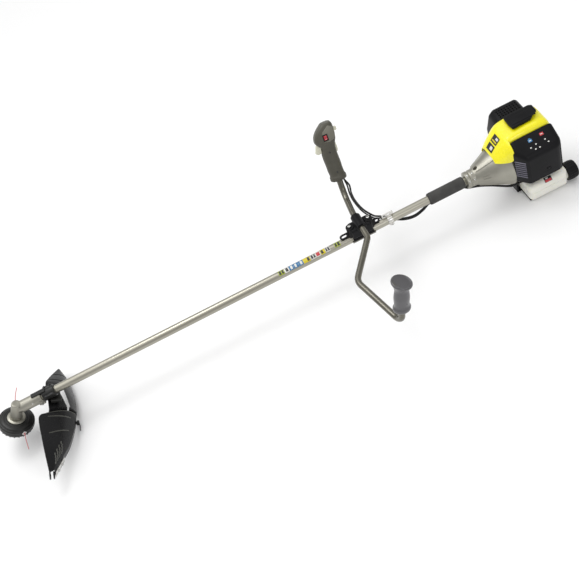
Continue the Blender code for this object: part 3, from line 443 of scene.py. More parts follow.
closed_tree(screw_tree, setting.outputs["Instances"], given, result)
SCREW = screw_head()


def screws(name, seats, radius, body, material=zinc, place=HERE):
    """Socket screws at (point, direction) seats."""
    points = bpy.data.meshes.new(name)
    points.from_pydata([tuple(place @ Vector(point)) for point, _ in seats], [], [])
    facing = points.attributes.new("direction", "FLOAT_VECTOR", "POINT")
    turned_seats = [(place.to_3x3() @ Vector(way)).normalized() for _, way in seats]
    facing.data.foreach_set("vector", [value for way in turned_seats for value in way])
    made = grown(name, screw_tree, {"Screw": SCREW, "Radius": radius, "Material": material}, HERE, points)
    ride(body, made)
    return made


screws("gear_case_pinch_screw", [((-0.0115, -0.0092, -0.0225), (0, -1, 0))], 0.0034, "machine")
screws("gear_case_seat_screw", [((-0.0300, -0.0165, 0.0085), (0, -0.9, 0.45))], 0.0026, "machine")


# Line head: two black nylon shells round a spool, screwed under a dished steel washer. The rim has
# moulded grips, and the line leaves on opposite sides through pale eyelets.
CUTTING_HEAD_RADIUS = 0.055
shell_black = finish(
    "shell_black", (0.011, 0.011, 0.010), 0.36, grain=1800, bump=0.08, mottle=0.25, shine=0.35
)
bright_steel = finish("bright_steel", (0.66, 0.65, 0.62), 0.24, 1.0, grain=1600, bump=0.04, mottle=0.08)
spool_orange = finish("spool_plastic", (0.55, 0.18, 0.03), 0.45, mottle=0.1)
pale_plastic = finish("eyelet_plastic", (0.74, 0.70, 0.68), 0.35, mottle=0.06)
line_red = finish("red_line", (0.56, 0.13, 0.14), 0.35, grain=1200, bump=0.02, mottle=0.15)

washer = turned(
    "flange_washer_turned",
    [
        (-0.0345, 0.0050), (-0.0345, 0.0215), (-0.0358, 0.0262), (-0.0370, 0.0280), (-0.0386, 0.0280),
        (-0.0386, 0.0050),
    ],
    HEAD, cast_aluminium, loop=True, ease=0.0005,
)
upper_shell = turned("head_upper_shell", [
    (-0.0390, 0.0050), (-0.0390, 0.0322), (-0.0402, 0.0336), (-0.0404, 0.0392), (-0.0418, 0.0415),
    (-0.0432, 0.0458), (-0.0448, 0.0478), (-0.0468, 0.0490), (-0.0472, 0.0522), (-0.0490, 0.0542),
    (-0.0512, CUTTING_HEAD_RADIUS), (-0.0560, 0.0545), (-0.0590, CUTTING_HEAD_RADIUS), (-0.0628, 0.0549),
    (-0.0640, 0.0540), (-0.0640, 0.0512), (-0.0515, 0.0512), (-0.0480, 0.0465), (-0.0440, 0.0400),
    (-0.0420, 0.0300), (-0.0420, 0.0120), (-0.0440, 0.0120), (-0.0440, 0.0050),
], HEAD, shell_black, steps=128, loop=True, ease=0.0005)
lower_shell = turned("head_lower_shell", [
    (-0.0643, 0.0536), (-0.0655, 0.0540), (-0.0710, 0.0525), (-0.0770, 0.0470), (-0.0790, 0.0400),
    (-0.0790, 0.0300), (-0.0765, 0.0300), (-0.0765, 0.0400), (-0.0700, 0.0490), (-0.0643, 0.0500),
], HEAD, shell_black, steps=128, loop=True, ease=0.0008)
knob = turned("bump_knob_turned", [
    (-0.0690, 0.0180), (-0.0690, 0.0285), (-0.0860, 0.0285), (-0.0905, 0.0262), (-0.0935, 0.0210),
    (-0.0948, 0.0120), (-0.0950, 0.0060),
], HEAD, shell_black, ease=0.0012)

ring_tree, given, result = tree_of("ring_of_ribs", [
    ("Count", "NodeSocketInt"), ("Ring radius", "NodeSocketFloat"), ("Size", "NodeSocketVector"),
    ("Lean", "NodeSocketFloat"), ("Material", "NodeSocketMaterial"),
])
circle = ring_tree.nodes.new("GeometryNodeMeshCircle")
rib = ring_tree.nodes.new("GeometryNodeMeshUVSphere")
rib.inputs["Segments"].default_value, rib.inputs["Rings"].default_value = 12, 8
rib.inputs["Radius"].default_value = 1.0
where = ring_tree.nodes.new("GeometryNodeInputPosition")
outward = ring_tree.nodes.new("FunctionNodeAlignRotationToVector")
outward.axis = "X"
lean = ring_tree.nodes.new("FunctionNodeRotateRotation")
lean.rotation_space = "LOCAL"
lean_by = ring_tree.nodes.new("ShaderNodeCombineXYZ")
ribs_on_ring = ring_tree.nodes.new("GeometryNodeInstanceOnPoints")
ring_tree.links.new(given.outputs["Count"], circle.inputs["Vertices"])
ring_tree.links.new(given.outputs["Ring radius"], circle.inputs["Radius"])
ring_tree.links.new(where.outputs["Position"], outward.inputs["Vector"])
ring_tree.links.new(given.outputs["Lean"], lean_by.inputs["Y"])
ring_tree.links.new(outward.outputs["Rotation"], lean.inputs["Rotation"])
ring_tree.links.new(lean_by.outputs["Vector"], lean.inputs["Rotate By"])
ring_tree.links.new(circle.outputs["Mesh"], ribs_on_ring.inputs["Points"])
ring_tree.links.new(rib.outputs["Mesh"], ribs_on_ring.inputs["Instance"])
ring_tree.links.new(lean.outputs["Rotation"], ribs_on_ring.inputs["Rotation"])
ring_tree.links.new(given.outputs["Size"], ribs_on_ring.inputs["Scale"])
closed_tree(ring_tree, ribs_on_ring.outputs["Instances"], given, result)


def ribs_round(name, count, radius, size, height, place, material, body, lean_angle=0.0):
    """Rounded ribs in a ring. Size is each rib's half extent outwards, round the ring, and along it."""
    values = {"Count": count, "Ring radius": radius, "Size": size, "Lean": lean_angle, "Material": material}
    made = grown(name, ring_tree, values, place @ Matrix.Translation((0, 0, height)), smooth=60)
    ride(body, made)
    return made


ribs_round(
    "head_rim_grips", 24, 0.0495, (0.0022, 0.0026, 0.0050), -0.0705, HEAD, shell_black, "cutting_head",
    radians(-30),
)
ribs_round(
    "knob_grips", 14, 0.0272, (0.0020, 0.0017, 0.0070), -0.0800, HEAD, shell_black, "bump_feed",
)

path_tree, given, result = tree_of("bead_along_path", [
    ("Path", "NodeSocketGeometry"), ("Radius", "NodeSocketFloat"), ("Sides", "NodeSocketInt"),
    ("Material", "NodeSocketMaterial"),
])
as_curve = path_tree.nodes.new("GeometryNodeMeshToCurve")
round_section = path_tree.nodes.new("GeometryNodeCurvePrimitiveCircle")
swept = path_tree.nodes.new("GeometryNodeCurveToMesh")
swept.inputs["Fill Caps"].default_value = True
path_tree.links.new(given.outputs["Path"], as_curve.inputs["Mesh"])
path_tree.links.new(given.outputs["Sides"], round_section.inputs["Resolution"])
path_tree.links.new(given.outputs["Radius"], round_section.inputs["Radius"])
path_tree.links.new(as_curve.outputs["Curve"], swept.inputs["Curve"])
path_tree.links.new(round_section.outputs["Curve"], swept.inputs["Profile Curve"])
closed_tree(path_tree, swept.outputs["Mesh"], given, result)


def bead(name, paths, radius, material, body, place=HERE, sides=16):
    """Round beads along open paths of points."""
    points, edges = [], []
    for path in paths:
        edges += [(len(points) + i, len(points) + i + 1) for i in range(len(path) - 1)]
        points += [tuple(point) for point in path]
    route = bpy.data.meshes.new(name)
    route.from_pydata(points, edges, [])
    made = grown(name, path_tree, {"Radius": radius, "Sides": sides, "Material": material}, place, route, 60)
    ride(body, made)
    return made


def smooth_route(anchors, pieces=6):
    """Points on a Catmull-Rom curve through the anchors."""
    knots = [Vector(anchor) for anchor in anchors]
    knots = [2 * knots[0] - knots[1], *knots, 2 * knots[-1] - knots[-2]]
    route = []
    for a, b, c, d in zip(knots, knots[1:], knots[2:], knots[3:]):
        for i in range(pieces):
            t = i / pieces
            route.append(
                0.5 * (
                    2 * b + (c - a) * t + (2 * a - 5 * b + 4 * c - d) * t**2 + (3 * b - a - 3 * c + d) * t**3
                )
            )
    return [*route, knots[-2]]


for number, side, reach, start_x in ((1, -1, 0.060, 0.0165), (2, 1, 0.082, 0.0060)):
    path = []
    eyelet_y = side * (CUTTING_HEAD_RADIUS**2 - start_x**2) ** 0.5
    for i in range(25):
        t = i / 24
        path.append(
            (
                start_x + (0.020 - start_x) * t * t, eyelet_y * 0.93 + side * (reach + 0.0038) * t,
                -0.056 - 0.003 * t * t,
            )
        )
    line = bead(
        f"trimmer_line_{number}", [path], 0.0012, line_red, "cutting_head", HEAD, 12
    )
    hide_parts(f"nylon_line_{number}")
    eyelet_at = HEAD @ axis_frame(
        (start_x * 0.92, eyelet_y * 0.92, -0.0562), (start_x, eyelet_y, 0), (0, 0, 1)
    )
    eyelet = turned(
        f"line_eyelet_{number}",
        [(0, 0.0026), (0, 0.0072), (0.0038, 0.0072), (0.0050, 0.0058), (0.0050, 0.0026)],
        eyelet_at, pale_plastic, steps=40, loop=True, ease=0.0006,
    )
    eyelet_rim = turned(
        f"line_eyelet_rim_{number}", [(0.0036, 0.0014), (0.0036, 0.0028), (0.0054, 0.0028), (0.0054, 0.0014)],
        eyelet_at, line_red, steps=32, loop=True, ease=0.0003,
    )
    ride("cutting_head", eyelet, eyelet_rim)

SPRING_RADIUS, SPRING_TOP, SPRING_LENGTH = 0.0095, -0.0456, 0.0220
SPRING_TURNS, POINTS_PER_TURN = 5, 24
coil = []
for i in range(SPRING_TURNS * POINTS_PER_TURN + 1):
    turn = 2 * pi * i / POINTS_PER_TURN
    drop = SPRING_LENGTH * i / (SPRING_TURNS * POINTS_PER_TURN)
    coil.append((SPRING_RADIUS * cos(turn), SPRING_RADIUS * sin(turn), SPRING_TOP - drop))
spring = bead("head_spring_coil", [coil], 0.0009, bright_steel, "cutting_head", HEAD, 8)
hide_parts("head_spring")
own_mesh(spring)
for piece, node, slot in (
    (washer, "flange_washer", "bright_steel"), (upper_shell, "head_housing", "black_moulding"),
    (lower_shell, "head_cover", "black_moulding"), (knob, "bump_knob", "black_moulding"),
):
    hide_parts(node)
ride("cutting_head", washer, upper_shell, lower_shell)
ride("bump_feed", knob)


# Guard: a curved shield of tough black nylon under the shaft, with a wider skirt bolted on below it.
# Both are thin mouldings with a down-turned rim, stiffened by ribs. A steel blade on the skirt's end
# trims the line to length.
guard_black = finish(
    "guard_black", (0.006, 0.006, 0.0065), 0.27, grain=900, bump=0.015, mottle=0.3, patch=9, shine=0.25
)
# Painted highlight: a lighter grey than the guard's black, laid on the skirt's ribs and top edge so that they
# show as lit lines.
guard_painted_highlight = finish("guard_painted_highlight", (0.050, 0.050, 0.042), 0.30, grain=900, bump=0.015, mottle=0.2)
RIM_HEIGHT = -0.032


ROWS_PER_SPAN, SHIELD_COLUMNS, FLANGE_ROWS = 8, 18, 4


def shield_rows(stations, drop):
    """Rows of points over a shield. Each station is (rim point, inner edge point, inner edge height)."""
    rims = smooth_route([(*rim, 0) for rim, _, _ in stations], ROWS_PER_SPAN)
    inners = smooth_route([(*inner, height) for _, inner, height in stations], ROWS_PER_SPAN)
    rows = []
    for rim, inner in zip(rims, inners):
        row = []
        for i in range(SHIELD_COLUMNS + 1):
            share = 1 - (1 - i / SHIELD_COLUMNS) ** 1.5
            fall = 0.35 * share**1.6 + 0.65 * share**4.5
            flat = inner.lerp(rim, share)
            row.append(Vector((flat.x, flat.y, inner.z + (RIM_HEIGHT - inner.z) * fall)))
        for i in range(1, FLANGE_ROWS + 1):
            row.append(Vector((rim.x, rim.y, RIM_HEIGHT + (drop - RIM_HEIGHT) * i / FLANGE_ROWS)))
        rows.append(row)
    return rows


def shield(name, rows, material):
    made = placed(name, skinned(rows, ends=False, open_rows=True), HEAD, material, 50)
    wall = made.modifiers.new("wall", "SOLIDIFY")
    wall.thickness, wall.offset = 0.0028, 0
    return resmoothed(settled(made), 50)


upper_rows = shield_rows([
    ((0.160, 0.160), (0.153, 0.158), -0.022), ((0.172, 0.128), (0.133, 0.130), -0.008),
    ((0.180, 0.090), (0.112, 0.096), 0.010), ((0.183, 0.052), (0.098, 0.066), 0.024),
    ((0.183, 0.015), (0.095, 0.025), 0.030), ((0.178, -0.024), (0.091, -0.0405), 0.026),
], -0.0565)
FLANGE_DROP = 0.016
upper_rows.append([
    point - Vector((0.0008, 0.0012, FLANGE_DROP if i <= SHIELD_COLUMNS else 0)) for i,
    point in enumerate(upper_rows[-1])
])
upper_guard = shield("guard_shield", upper_rows, guard_black)
lower_rows = shield_rows([
    ((0.1750, -0.0310), (0.076, -0.0470), 0.015), ((0.1735, -0.0420), (0.064, -0.0500), 0.0165),
    ((0.1670, -0.0640), (0.0560, -0.066), 0.014), ((0.152, -0.104), (0.055, -0.128), 0.006),
    ((0.134, -0.142), (0.056, -0.172), -0.004), ((0.106, -0.184), (0.058, -0.208), -0.016),
    ((0.078, -0.226), (0.060, -0.236), -0.026),
], -0.0572)
lower_guard = shield("guard_skirt_moulding", lower_rows, guard_black)
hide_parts("guard")
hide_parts("guard_skirt")

window = [(0.127, 0.047), (0.148, 0.042), (0.158, -0.024), (0.149, -0.036)]
window_cut = placed(
    "guard_window", skinned([[(x, y, z) for x, y in window] for z in (-0.06, 0.06)]), HEAD, None
)
edges_eased(window_cut, 0.002, 3)
combined(upper_guard, "DIFFERENCE", [window_cut])
resmoothed(upper_guard, 40)


def surface_rib(rows, row, start, end, lift):
    """Points along one row of a shield, lifted a little off its surface."""
    return [point + Vector((0, 0, lift)) for point in rows[row][start:end]]


ribs = [surface_rib(lower_rows, row, 3, 14, 0.0012) for row in (14, 23)]
for row, start_column in ((30, 9), (32, 8), (34, 7), (36, 6)):
    ribs.append(
        [lower_rows[row + step][start_column + step // 2] + Vector((0, 0, 0.0010)) for step in range(0, 9)]
    )
# The skirt's ribs and its top edge below are drawn in the lighter painted highlight grey.
bead("guard_skirt_ribs", ribs, 0.0021, guard_painted_highlight, "machine", HEAD)
bead(
    "guard_shield_ribs", [surface_rib(upper_rows, row, 1, 16, 0.0012) for row in (10, 18)], 0.0014,
    guard_black, "machine", HEAD,
)
top_edge = [point + Vector((0, 0, 0.0012)) for point in lower_rows[1][1:18]]
bead("guard_skirt_top_edge", [top_edge], 0.0016, guard_painted_highlight, "machine", HEAD)
rim_bead = [row[-1] + Vector((-0.0004, 0, 0.0010)) for row in lower_rows]
bead("guard_rim_bead", [rim_bead], 0.0022, guard_black, "machine", HEAD)
ride("machine", upper_guard, lower_guard)


def softened(node, name, material, width=0.0006, segments=3):
    """A CAD piece with its corners eased, which stands for the plain one."""
    built = bmesh.new()
    built.from_mesh(frame["nodes"][node].data)
    bmesh.ops.remove_doubles(built, verts=built.verts, dist=1e-6)
    bmesh.ops.dissolve_limit(built, angle_limit=radians(1.0), verts=built.verts, edges=built.edges)
    made = placed(name, built, MACHINE.inverted(), material, 30)
    edges_eased(made, width, segments, 28)
    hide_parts(node)
    ride(frame["nodes"][node]["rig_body"], made)
    return resmoothed(made, 40)


softened("line_cutter", "line_cutter_blade", bright_steel, 0.0003, 2)
start, end = Vector((0.1130, -0.1800, -0.048)), Vector((0.0790, -0.2310, -0.048))
blade_out = Vector((0.832, -0.555, 0))
screws(
    "blade_screws", [(start.lerp(end, share) + blade_out * 0.0022, blade_out) for share in (0.3, 0.7)],
    0.0034, "machine", zinc, HEAD,
)

thumb_screw_at = HEAD @ axis_frame((0.1690, -0.0560, -0.040), (0.98, -0.18, 0), (0, 0, 1))
thumb_screw = turned(
    "guard_thumb_screw",
    [(-0.002, 0.0040), (0.004, 0.0040), (0.0042, 0.0075), (0.0110, 0.0075), (0.0120, 0.0060)],
    thumb_screw_at, guard_black, steps=48, ease=0.0008,
)
ride("machine", thumb_screw)
ribs_round(
    "thumb_screw_ribs", 10, 0.0072, (0.0010, 0.0012, 0.0036), 0.0076, thumb_screw_at, guard_black,
    "machine",
)
bead(
    "guard_pin", [[(0.1800, -0.0580, -0.040), (0.1810, -0.0720, -0.041), (0.1790, -0.0880, -0.042)]],
    0.0016, black_steel, "machine", HEAD,
)


def merged(name, pieces):
    """Several pieces made one object, each with the material it has."""
    built = bmesh.new()
    mesh = bpy.data.meshes.new(name)
    materials = []
    for piece in pieces:
        for material in piece.data.materials:
            if material not in materials:
                materials.append(material)
            for polygon in piece.data.polygons:
                polygon.material_index = materials.index(material)
        built.from_mesh(piece.data)
        bpy.data.objects.remove(piece)
    built.to_mesh(mesh)
    built.free()
    for material in materials:
        mesh.materials.append(material)
    made = bpy.data.objects.new(name, mesh)
    bpy.context.scene.collection.objects.link(made)
    return made


def joined(name, pieces, body):
    """Several patches or blocks made one piece, on a body."""
    made = merged(name, pieces)
    ride(body, made)
    return made


tips = [
    block(
        f"guard_tip_{number}", (x - 0.0022, -0.2420, -0.052), (x + 0.0022, -0.226, -0.034), HEAD,
        guard_black, bevel=0.0008,
    )
    for number, x in ((1, 0.0625), (2, 0.0740))
]
joined("guard_tips", tips, "machine")


# Guard clamp: a black moulded collar on the tube, with two ears for its bolts, a foot that takes the
# guard, and a flat tab that reaches forward over the gear case sleeve.
collar = turned(
    "guard_collar",
    [
        (0.0045, 0.0150), (0.0045, 0.0186), (0.0060, 0.0192), (0.0440, 0.0192), (0.0455, 0.0180),
        (0.0455, 0.0150),
    ],
    along_shaft(0), shell_black, loop=True, ease=0.0008,
)
collar_parts = [
    block("collar_foot", (0.100, -0.026, 0.0325), (0.132, 0.026, 0.046), HEAD, bevel=0.003),
    block("collar_ears", (0.010, -0.022, 0.004), (0.042, 0.022, 0.012), HERE, bevel=0.002),
    block("collar_tab", (-0.026, -0.007, 0.0195), (0.020, 0.007, 0.0235), HERE, bevel=0.0012),
    block("collar_tab_root", (0.006, -0.007, 0.016), (0.020, 0.007, 0.0235), HERE, bevel=0.001),
    block("collar_web", (0.030, -0.004, -0.030), (0.044, 0.004, -0.012), HERE, bevel=0.001),
]
combined(collar, "UNION", collar_parts)
resmoothed(collar, 35)
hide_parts("guard_bracket")
ride("machine", collar)
screws(
    "guard_clamp_screws", [((x, y, 0.0122), (0, 0, 1)) for x in (0.017, 0.035) for y in (-0.0185, 0.0185)],
    0.0030, "machine", black_steel,
)


# Shaft: a drawn aluminium tube, 25.4 mm across, with a steel drive shaft in two nylon bushes inside.
# It carries a printed band of plain pictograms ahead of the handle.
TUBE_RADIUS, TUBE_WALL, TUBE_END = 0.0127, 0.0015, 1.490
silver_tube = finish(
    "silver_tube", (0.40, 0.385, 0.33), 0.30, 0.92, grain=700, bump=0.02, mottle=0.07, stretch=(0.15, 3, 3),
    patch=9,
    second=(0.36, 0.345, 0.29),
)
bore = TUBE_RADIUS - TUBE_WALL
tube = turned(
    "shaft_tube_drawn",
    [(TUBE_START, bore), (TUBE_START, TUBE_RADIUS), (TUBE_END, TUBE_RADIUS), (TUBE_END, bore)],
    along_shaft(0), silver_tube, steps=128, loop=True, ease=0.0003,
)
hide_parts("shaft_tube")
drive = turned(
    "drive_shaft_turned", [(-0.066, 0.0020), (-0.066, 0.004), (1.5262, 0.004), (1.5262, 0.0020)],
    along_shaft(0), bright_steel, steps=32, ease=0.0003,
)
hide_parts("drive_shaft")
ride("machine", tube)
ride("drive_line", drive)


def paint(name, colour):
    return finish(name, colour, 0.35, grain=1500, bump=0.015, mottle=0.05, coat=0.3)


label_paints = {
    "yellow": paint("label_yellow", (0.66, 0.54, 0.01)), "blue": paint("label_blue", (0.02, 0.16, 0.36)),
    "white": paint("label_white", (0.70, 0.70, 0.66)), "black": paint("label_black", (0.008, 0.008, 0.008)),
    "red": paint("label_red", (0.50, 0.02, 0.03)), "green": paint("label_green", (0.36, 0.42, 0.03)),
}


def patch(name, surface, low, high, colour, across_steps=8, along_steps=8):
    """A thin printed patch laid on a surface, which is a function of two values from low to high."""
    rings = []
    for i in range(along_steps + 1):
        u = low[0] + (high[0] - low[0]) * i / along_steps
        rings.append(
            [surface(u, low[1] + (high[1] - low[1]) * j / across_steps) for j in range(across_steps + 1)]
        )
    return placed(name, skinned(rings, ends=False, open_rows=True), HERE, label_paints[colour], 60)


def on_tube(lift):
    return lambda x, angle: Vector((x, (TUBE_RADIUS + lift) * sin(angle), (TUBE_RADIUS + lift) * cos(angle)))


band = []
cells = [
    (0.8120, 0.0190, "green", ((0.1, 0.45, "black"), (0.6, 0.9, "black"))),
    (0.8320, 0.0150, "white", ((0.3, 0.8, "black"),)), (0.8480, 0.0150, "blue", ((0.3, 0.75, "white"),)),
    (0.8640, 0.0150, "blue", ((0.2, 0.6, "white"),)), (0.8800, 0.0150, "blue", ((0.35, 0.8, "white"),)),
    (0.8960, 0.0230, "yellow", ((0.6, 0.9, "black"),)),
    (0.9210, 0.0160, "white", ((0.1, 0.5, "black"), (0.65, 0.95, "black"))),
    (0.9380, 0.0160, "white", ((0.15, 0.85, "red"),)), (0.9550, 0.0150, "yellow", ((0.1, 0.6, "black"),)),
    (0.9710, 0.0150, "white", ((0.1, 0.4, "black"), (0.55, 0.9, "black"))),
    (1.0020, 0.0190, "green", ((0.1, 0.4, "black"), (0.55, 0.9, "black"))),
]
label_from, label_to = radians(-54), radians(24)
margin = 0.14 * (label_to - label_from)
for number, (start_x, width, ground, marks) in enumerate(cells):
    band.append(
        patch(
            f"band_{number}", on_tube(0.00012), (start_x, label_from), (start_x + width, label_to), ground,
            16, 4,
        )
    )
    for order, (low_share, high_share, colour) in enumerate(marks):
        band.append(patch(
            f"mark_{number}_{order}", on_tube(0.00022), (start_x + width * low_share, label_from + margin),
            (start_x + width * high_share, label_to - margin), colour, 10, 3,
        ))
joined("pictogram_band", band, "machine")


# Handle clamp: a bronze-grey half sleeve under the tube and a black moulded cap over it, which also
# grips the handlebar in its round ridge. Long lugs with eyes stand up from the cap fore and aft.
CLAMP_X, BAR_RADIUS, BAR_HEIGHT = 1.097, 0.0095, 0.052
bronze = finish(
    "bronze_grey_paint", (0.145, 0.137, 0.112), 0.26, 0.85, grain=1500, bump=0.03, mottle=0.12, coat=0.2
)
moulding_black = finish(
    "moulding_black", (0.007, 0.007, 0.008), 0.34, grain=1500, bump=0.05, mottle=0.25, shine=0.13
)
base = turned("clamp_base_sleeve", [(-0.0385, 0.0129), (-0.0385, 0.0165), (0.0385, 0.0165), (0.0385, 0.0129)],
              along_shaft(CLAMP_X), bronze, loop=True, ease=0.0008)
combined(base, "DIFFERENCE", [block("base_half", (1.0, -0.03, 0.0005), (1.2, 0.03, 0.03), HERE, bevel=0)])
resmoothed(base)
cap = turned("clamp_cap_moulding", [(-0.0345, 0.0129), (-0.0345, 0.0185), (0.0345, 0.0185), (0.0345, 0.0129)],
             along_shaft(CLAMP_X), None, loop=True, ease=0.001)
combined(cap, "UNION", [
    block("cap_body", (CLAMP_X - 0.034, -0.021, 0.012), (CLAMP_X + 0.034, 0.021, 0.048), HERE, bevel=0.006),
    rod("cap_ridge", 0.0155, (CLAMP_X, -0.026, BAR_HEIGHT), (CLAMP_X, 0.026, BAR_HEIGHT)),
    rod("cap_front_boss", 0.0125, (CLAMP_X - 0.031, 0, 0.014), (CLAMP_X - 0.031, 0, 0.0515)),
    rod("cap_rear_boss", 0.0125, (CLAMP_X + 0.031, 0, 0.014), (CLAMP_X + 0.031, 0, 0.0515)),
    block("cap_lugs", (CLAMP_X - 0.064, -0.003, 0.0135), (CLAMP_X + 0.056, 0.003, 0.0335), HERE, bevel=0.001),
    rod("cap_front_lug_end", 0.0100, (CLAMP_X - 0.061, -0.003, 0.0235), (CLAMP_X - 0.061, 0.003, 0.0235)),
    rod("cap_rear_lug_end", 0.0100, (CLAMP_X + 0.053, -0.003, 0.0235), (CLAMP_X + 0.053, 0.003, 0.0235)),
])
moulded(cap, 0.0007, 4)
combined(cap, "DIFFERENCE", [
    block("cap_half", (1.0, -0.05, -0.03), (1.2, 0.05, 0.0010), HERE, bevel=0),
    block(
        "cap_front_eye", (CLAMP_X - 0.065, -0.02, 0.0165), (CLAMP_X - 0.0485, 0.02, 0.0305), HERE,
        bevel=0.004,
    ),
    block(
        "cap_rear_eye", (CLAMP_X + 0.0485, -0.02, 0.0165), (CLAMP_X + 0.0575, 0.02, 0.0305), HERE,
        bevel=0.003,
    ),
])
cap.data.materials.append(moulding_black)
resmoothed(cap, 40)
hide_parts("clamp_base")
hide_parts("clamp_cap")
ride("machine", base, cap)
screws("clamp_bolts", [((CLAMP_X + x, 0, 0.0520), (0, 0, 1)) for x in (-0.031, 0.031)], 0.0050, "machine")


# Handlebar: one steel tube, bent cold and painted bronze grey. It runs straight through the clamp,
# out and forward to the left hand, and up to the right hand.
LEFT_GRIP_BASE, LEFT_GRIP_TOP = Vector((1.0625, -0.403, 0.096)), Vector((1.087, -0.403, 0.207))
LEFT_GRIP_UP = (LEFT_GRIP_TOP - LEFT_GRIP_BASE).normalized()
RIGHT_GRIP_BASE = Vector((1.110, 0.153, 0.100))
RIGHT_GRIP_UP = Vector((0.0835, 0.4227, 0.902)).normalized()


def filleted(corners, steps=6):
    """Points along a bent bar. Each corner is (x, y, z, bend radius)."""
    points = [Vector(corners[0][:3])]
    for before, corner, after in zip(corners, corners[1:], corners[2:]):
        at, bend = Vector(corner[:3]), corner[3]
        back, forth = (Vector(before[:3]) - at).normalized(), (Vector(after[:3]) - at).normalized()
        half = back.angle(forth) / 2
        centre = at + (back + forth).normalized() * bend / sin(half)
        first, last = at + back * bend / tan(half) - centre, at + forth * bend / tan(half) - centre
        sweep = first.angle(last)
        for i in range(steps + 1):
            part = i / steps
            points.append(
                centre + first * sin((1 - part) * sweep) / sin(sweep) + last * sin(part * sweep) / sin(sweep)
            )
    points.append(Vector(corners[-1][:3]))
    return points


bar = bead("handlebar_tube", [filleted([
    (*(LEFT_GRIP_BASE + LEFT_GRIP_UP * 0.075), 0), (*(LEFT_GRIP_BASE - 0.046 * LEFT_GRIP_UP), 0.032),
    (1.003, -0.201, 0.050, 0.045), (CLAMP_X, -0.070, BAR_HEIGHT, 0.030), (CLAMP_X, 0.045, BAR_HEIGHT, 0.150),
    (*(RIGHT_GRIP_BASE - 0.053 * RIGHT_GRIP_UP), 0.050), (*(RIGHT_GRIP_BASE + RIGHT_GRIP_UP * 0.060), 0),
], 16)], BAR_RADIUS, bronze, "machine", sides=40)
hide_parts("handlebar")


# Left grip: a soft grey sleeve pushed on the bar, oval, with a collar at its foot and a wide flat
# flange on top that keeps the hand from sliding off.
soft_grey = finish(
    "soft_grip", (0.105, 0.103, 0.108), 0.30, 0.35, grain=1100, bump=0.08, mottle=0.1, coat=0.1
)


def oval(centre, half_x, half_y, x_axis, y_axis, steps=72, power=1.0):
    points = []
    for i in range(steps):
        across_part, along_part = cos(2 * pi * i / steps), sin(2 * pi * i / steps)
        swell = (abs(across_part) ** (2 * power) + abs(along_part) ** (2 * power)) ** (-1 / (2 * power))
        points.append(centre + x_axis * half_x * across_part * swell + y_axis * half_y * along_part * swell)
    return points


side = Vector((0, -1, 0))
fore = side.cross(LEFT_GRIP_UP).normalized()
grip_profile = smooth_route([
    (0.0100, 0.0205, 0), (0.0112, 0.0240, 0), (0.0160, 0.0254, 0), (0.0220, 0.0248, 0), (0.0270, 0.0224, 0),
    (0.0340, 0.0216, 0), (0.0480, 0.0222, 0), (0.0620, 0.0226, 0), (0.0780, 0.0210, 0), (0.0880, 0.0200, 0),
    (0.0980, 0.0212, 0),
], 4)
rings = [oval(LEFT_GRIP_BASE + LEFT_GRIP_UP * p.x, p.y, p.y * 0.84, fore, side) for p in grip_profile]
flange_up = Vector((0.466, -0.047, 0.876)).normalized()
flange_side = flange_up.cross(fore).normalized()
flange_fore = flange_side.cross(flange_up).normalized()
for height, half in (
    (-0.0055, 0.0262), (-0.0032, 0.0290), (-0.0008, 0.0300), (0.0018, 0.0300), (0.0036, 0.0292),
    (0.0044, 0.0278), (0.0036, 0.0262), (0.0022, 0.0246), (0.0018, 0.0200), (0.0016, 0.0100),
    (0.0016, 0.0030),
):
    rings.append(oval(LEFT_GRIP_TOP + flange_up * height, half, half * 0.96, flange_fore, flange_side))
left_grip = placed("left_grip_sleeve", skinned(rings), HERE, soft_grey, 40)
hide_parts("left_grip")
ride("machine", left_grip)


# Throttle grip: two grey-brown mouldings screwed together round the bar's end. A slim ribbed handle
# swells into a head that holds the trigger, the red stop switch and the pale start lock button.
GRIP_FORE = Vector((-1, 0, 0))
GRIP_SIDE = RIGHT_GRIP_UP.cross(GRIP_FORE).normalized()
GRIP_FORE = GRIP_SIDE.cross(RIGHT_GRIP_UP).normalized()
GRIP = Matrix((GRIP_FORE, GRIP_SIDE, RIGHT_GRIP_UP)).transposed().to_4x4()
GRIP.translation = RIGHT_GRIP_BASE
SWITCH_AT, LOCK_AT = Vector((0.0000, 0.0185, 0.1440)), Vector((-0.0290, 0, 0.1560))
grip_brown = finish(
    "grip_grey_brown", (0.072, 0.068, 0.052), 0.42, grain=1300, bump=0.16, mottle=0.12, shine=0.4
)
sections = [
    # height, forward shift, half fore and aft, half across, squareness
    (0.000, 0.000, 0.0215, 0.0180, 1.0), (0.002, 0.000, 0.0250, 0.0215, 1.0),
    (0.005, 0.000, 0.0262, 0.0228, 1.0), (0.013, 0.000, 0.0262, 0.0228, 1.0),
    (0.016, 0.000, 0.0248, 0.0212, 1.0), (0.021, 0.000, 0.0236, 0.0196, 1.0),
    (0.035, 0.001, 0.0238, 0.0192, 1.0), (0.055, 0.001, 0.0242, 0.0190, 1.0),
    (0.085, 0.002, 0.0240, 0.0186, 1.1), (0.103, 0.000, 0.0228, 0.0184, 1.1),
    (0.112, -0.002, 0.0226, 0.0186, 1.2), (0.121, 0.000, 0.0272, 0.0196, 1.35),
    (0.128, 0.001, 0.0316, 0.0206, 1.5), (0.136, 0.0015, 0.0335, 0.0214, 1.7),
    (0.148, 0.0000, 0.0330, 0.0216, 1.75), (0.160, -0.0043, 0.0303, 0.0214, 1.75),
    (0.170, -0.0090, 0.0256, 0.0208, 1.7), (0.177, -0.0128, 0.0208, 0.0196, 1.65),
    (0.1815, -0.0145, 0.0172, 0.0176, 1.6), (0.1838, -0.0152, 0.0140, 0.0145, 1.5),
    (0.1845, -0.0155, 0.0080, 0.0080, 1.3),
]
spans = smooth_route([(height, shift, fore_half) for height, shift, fore_half, _, _ in sections], 3)
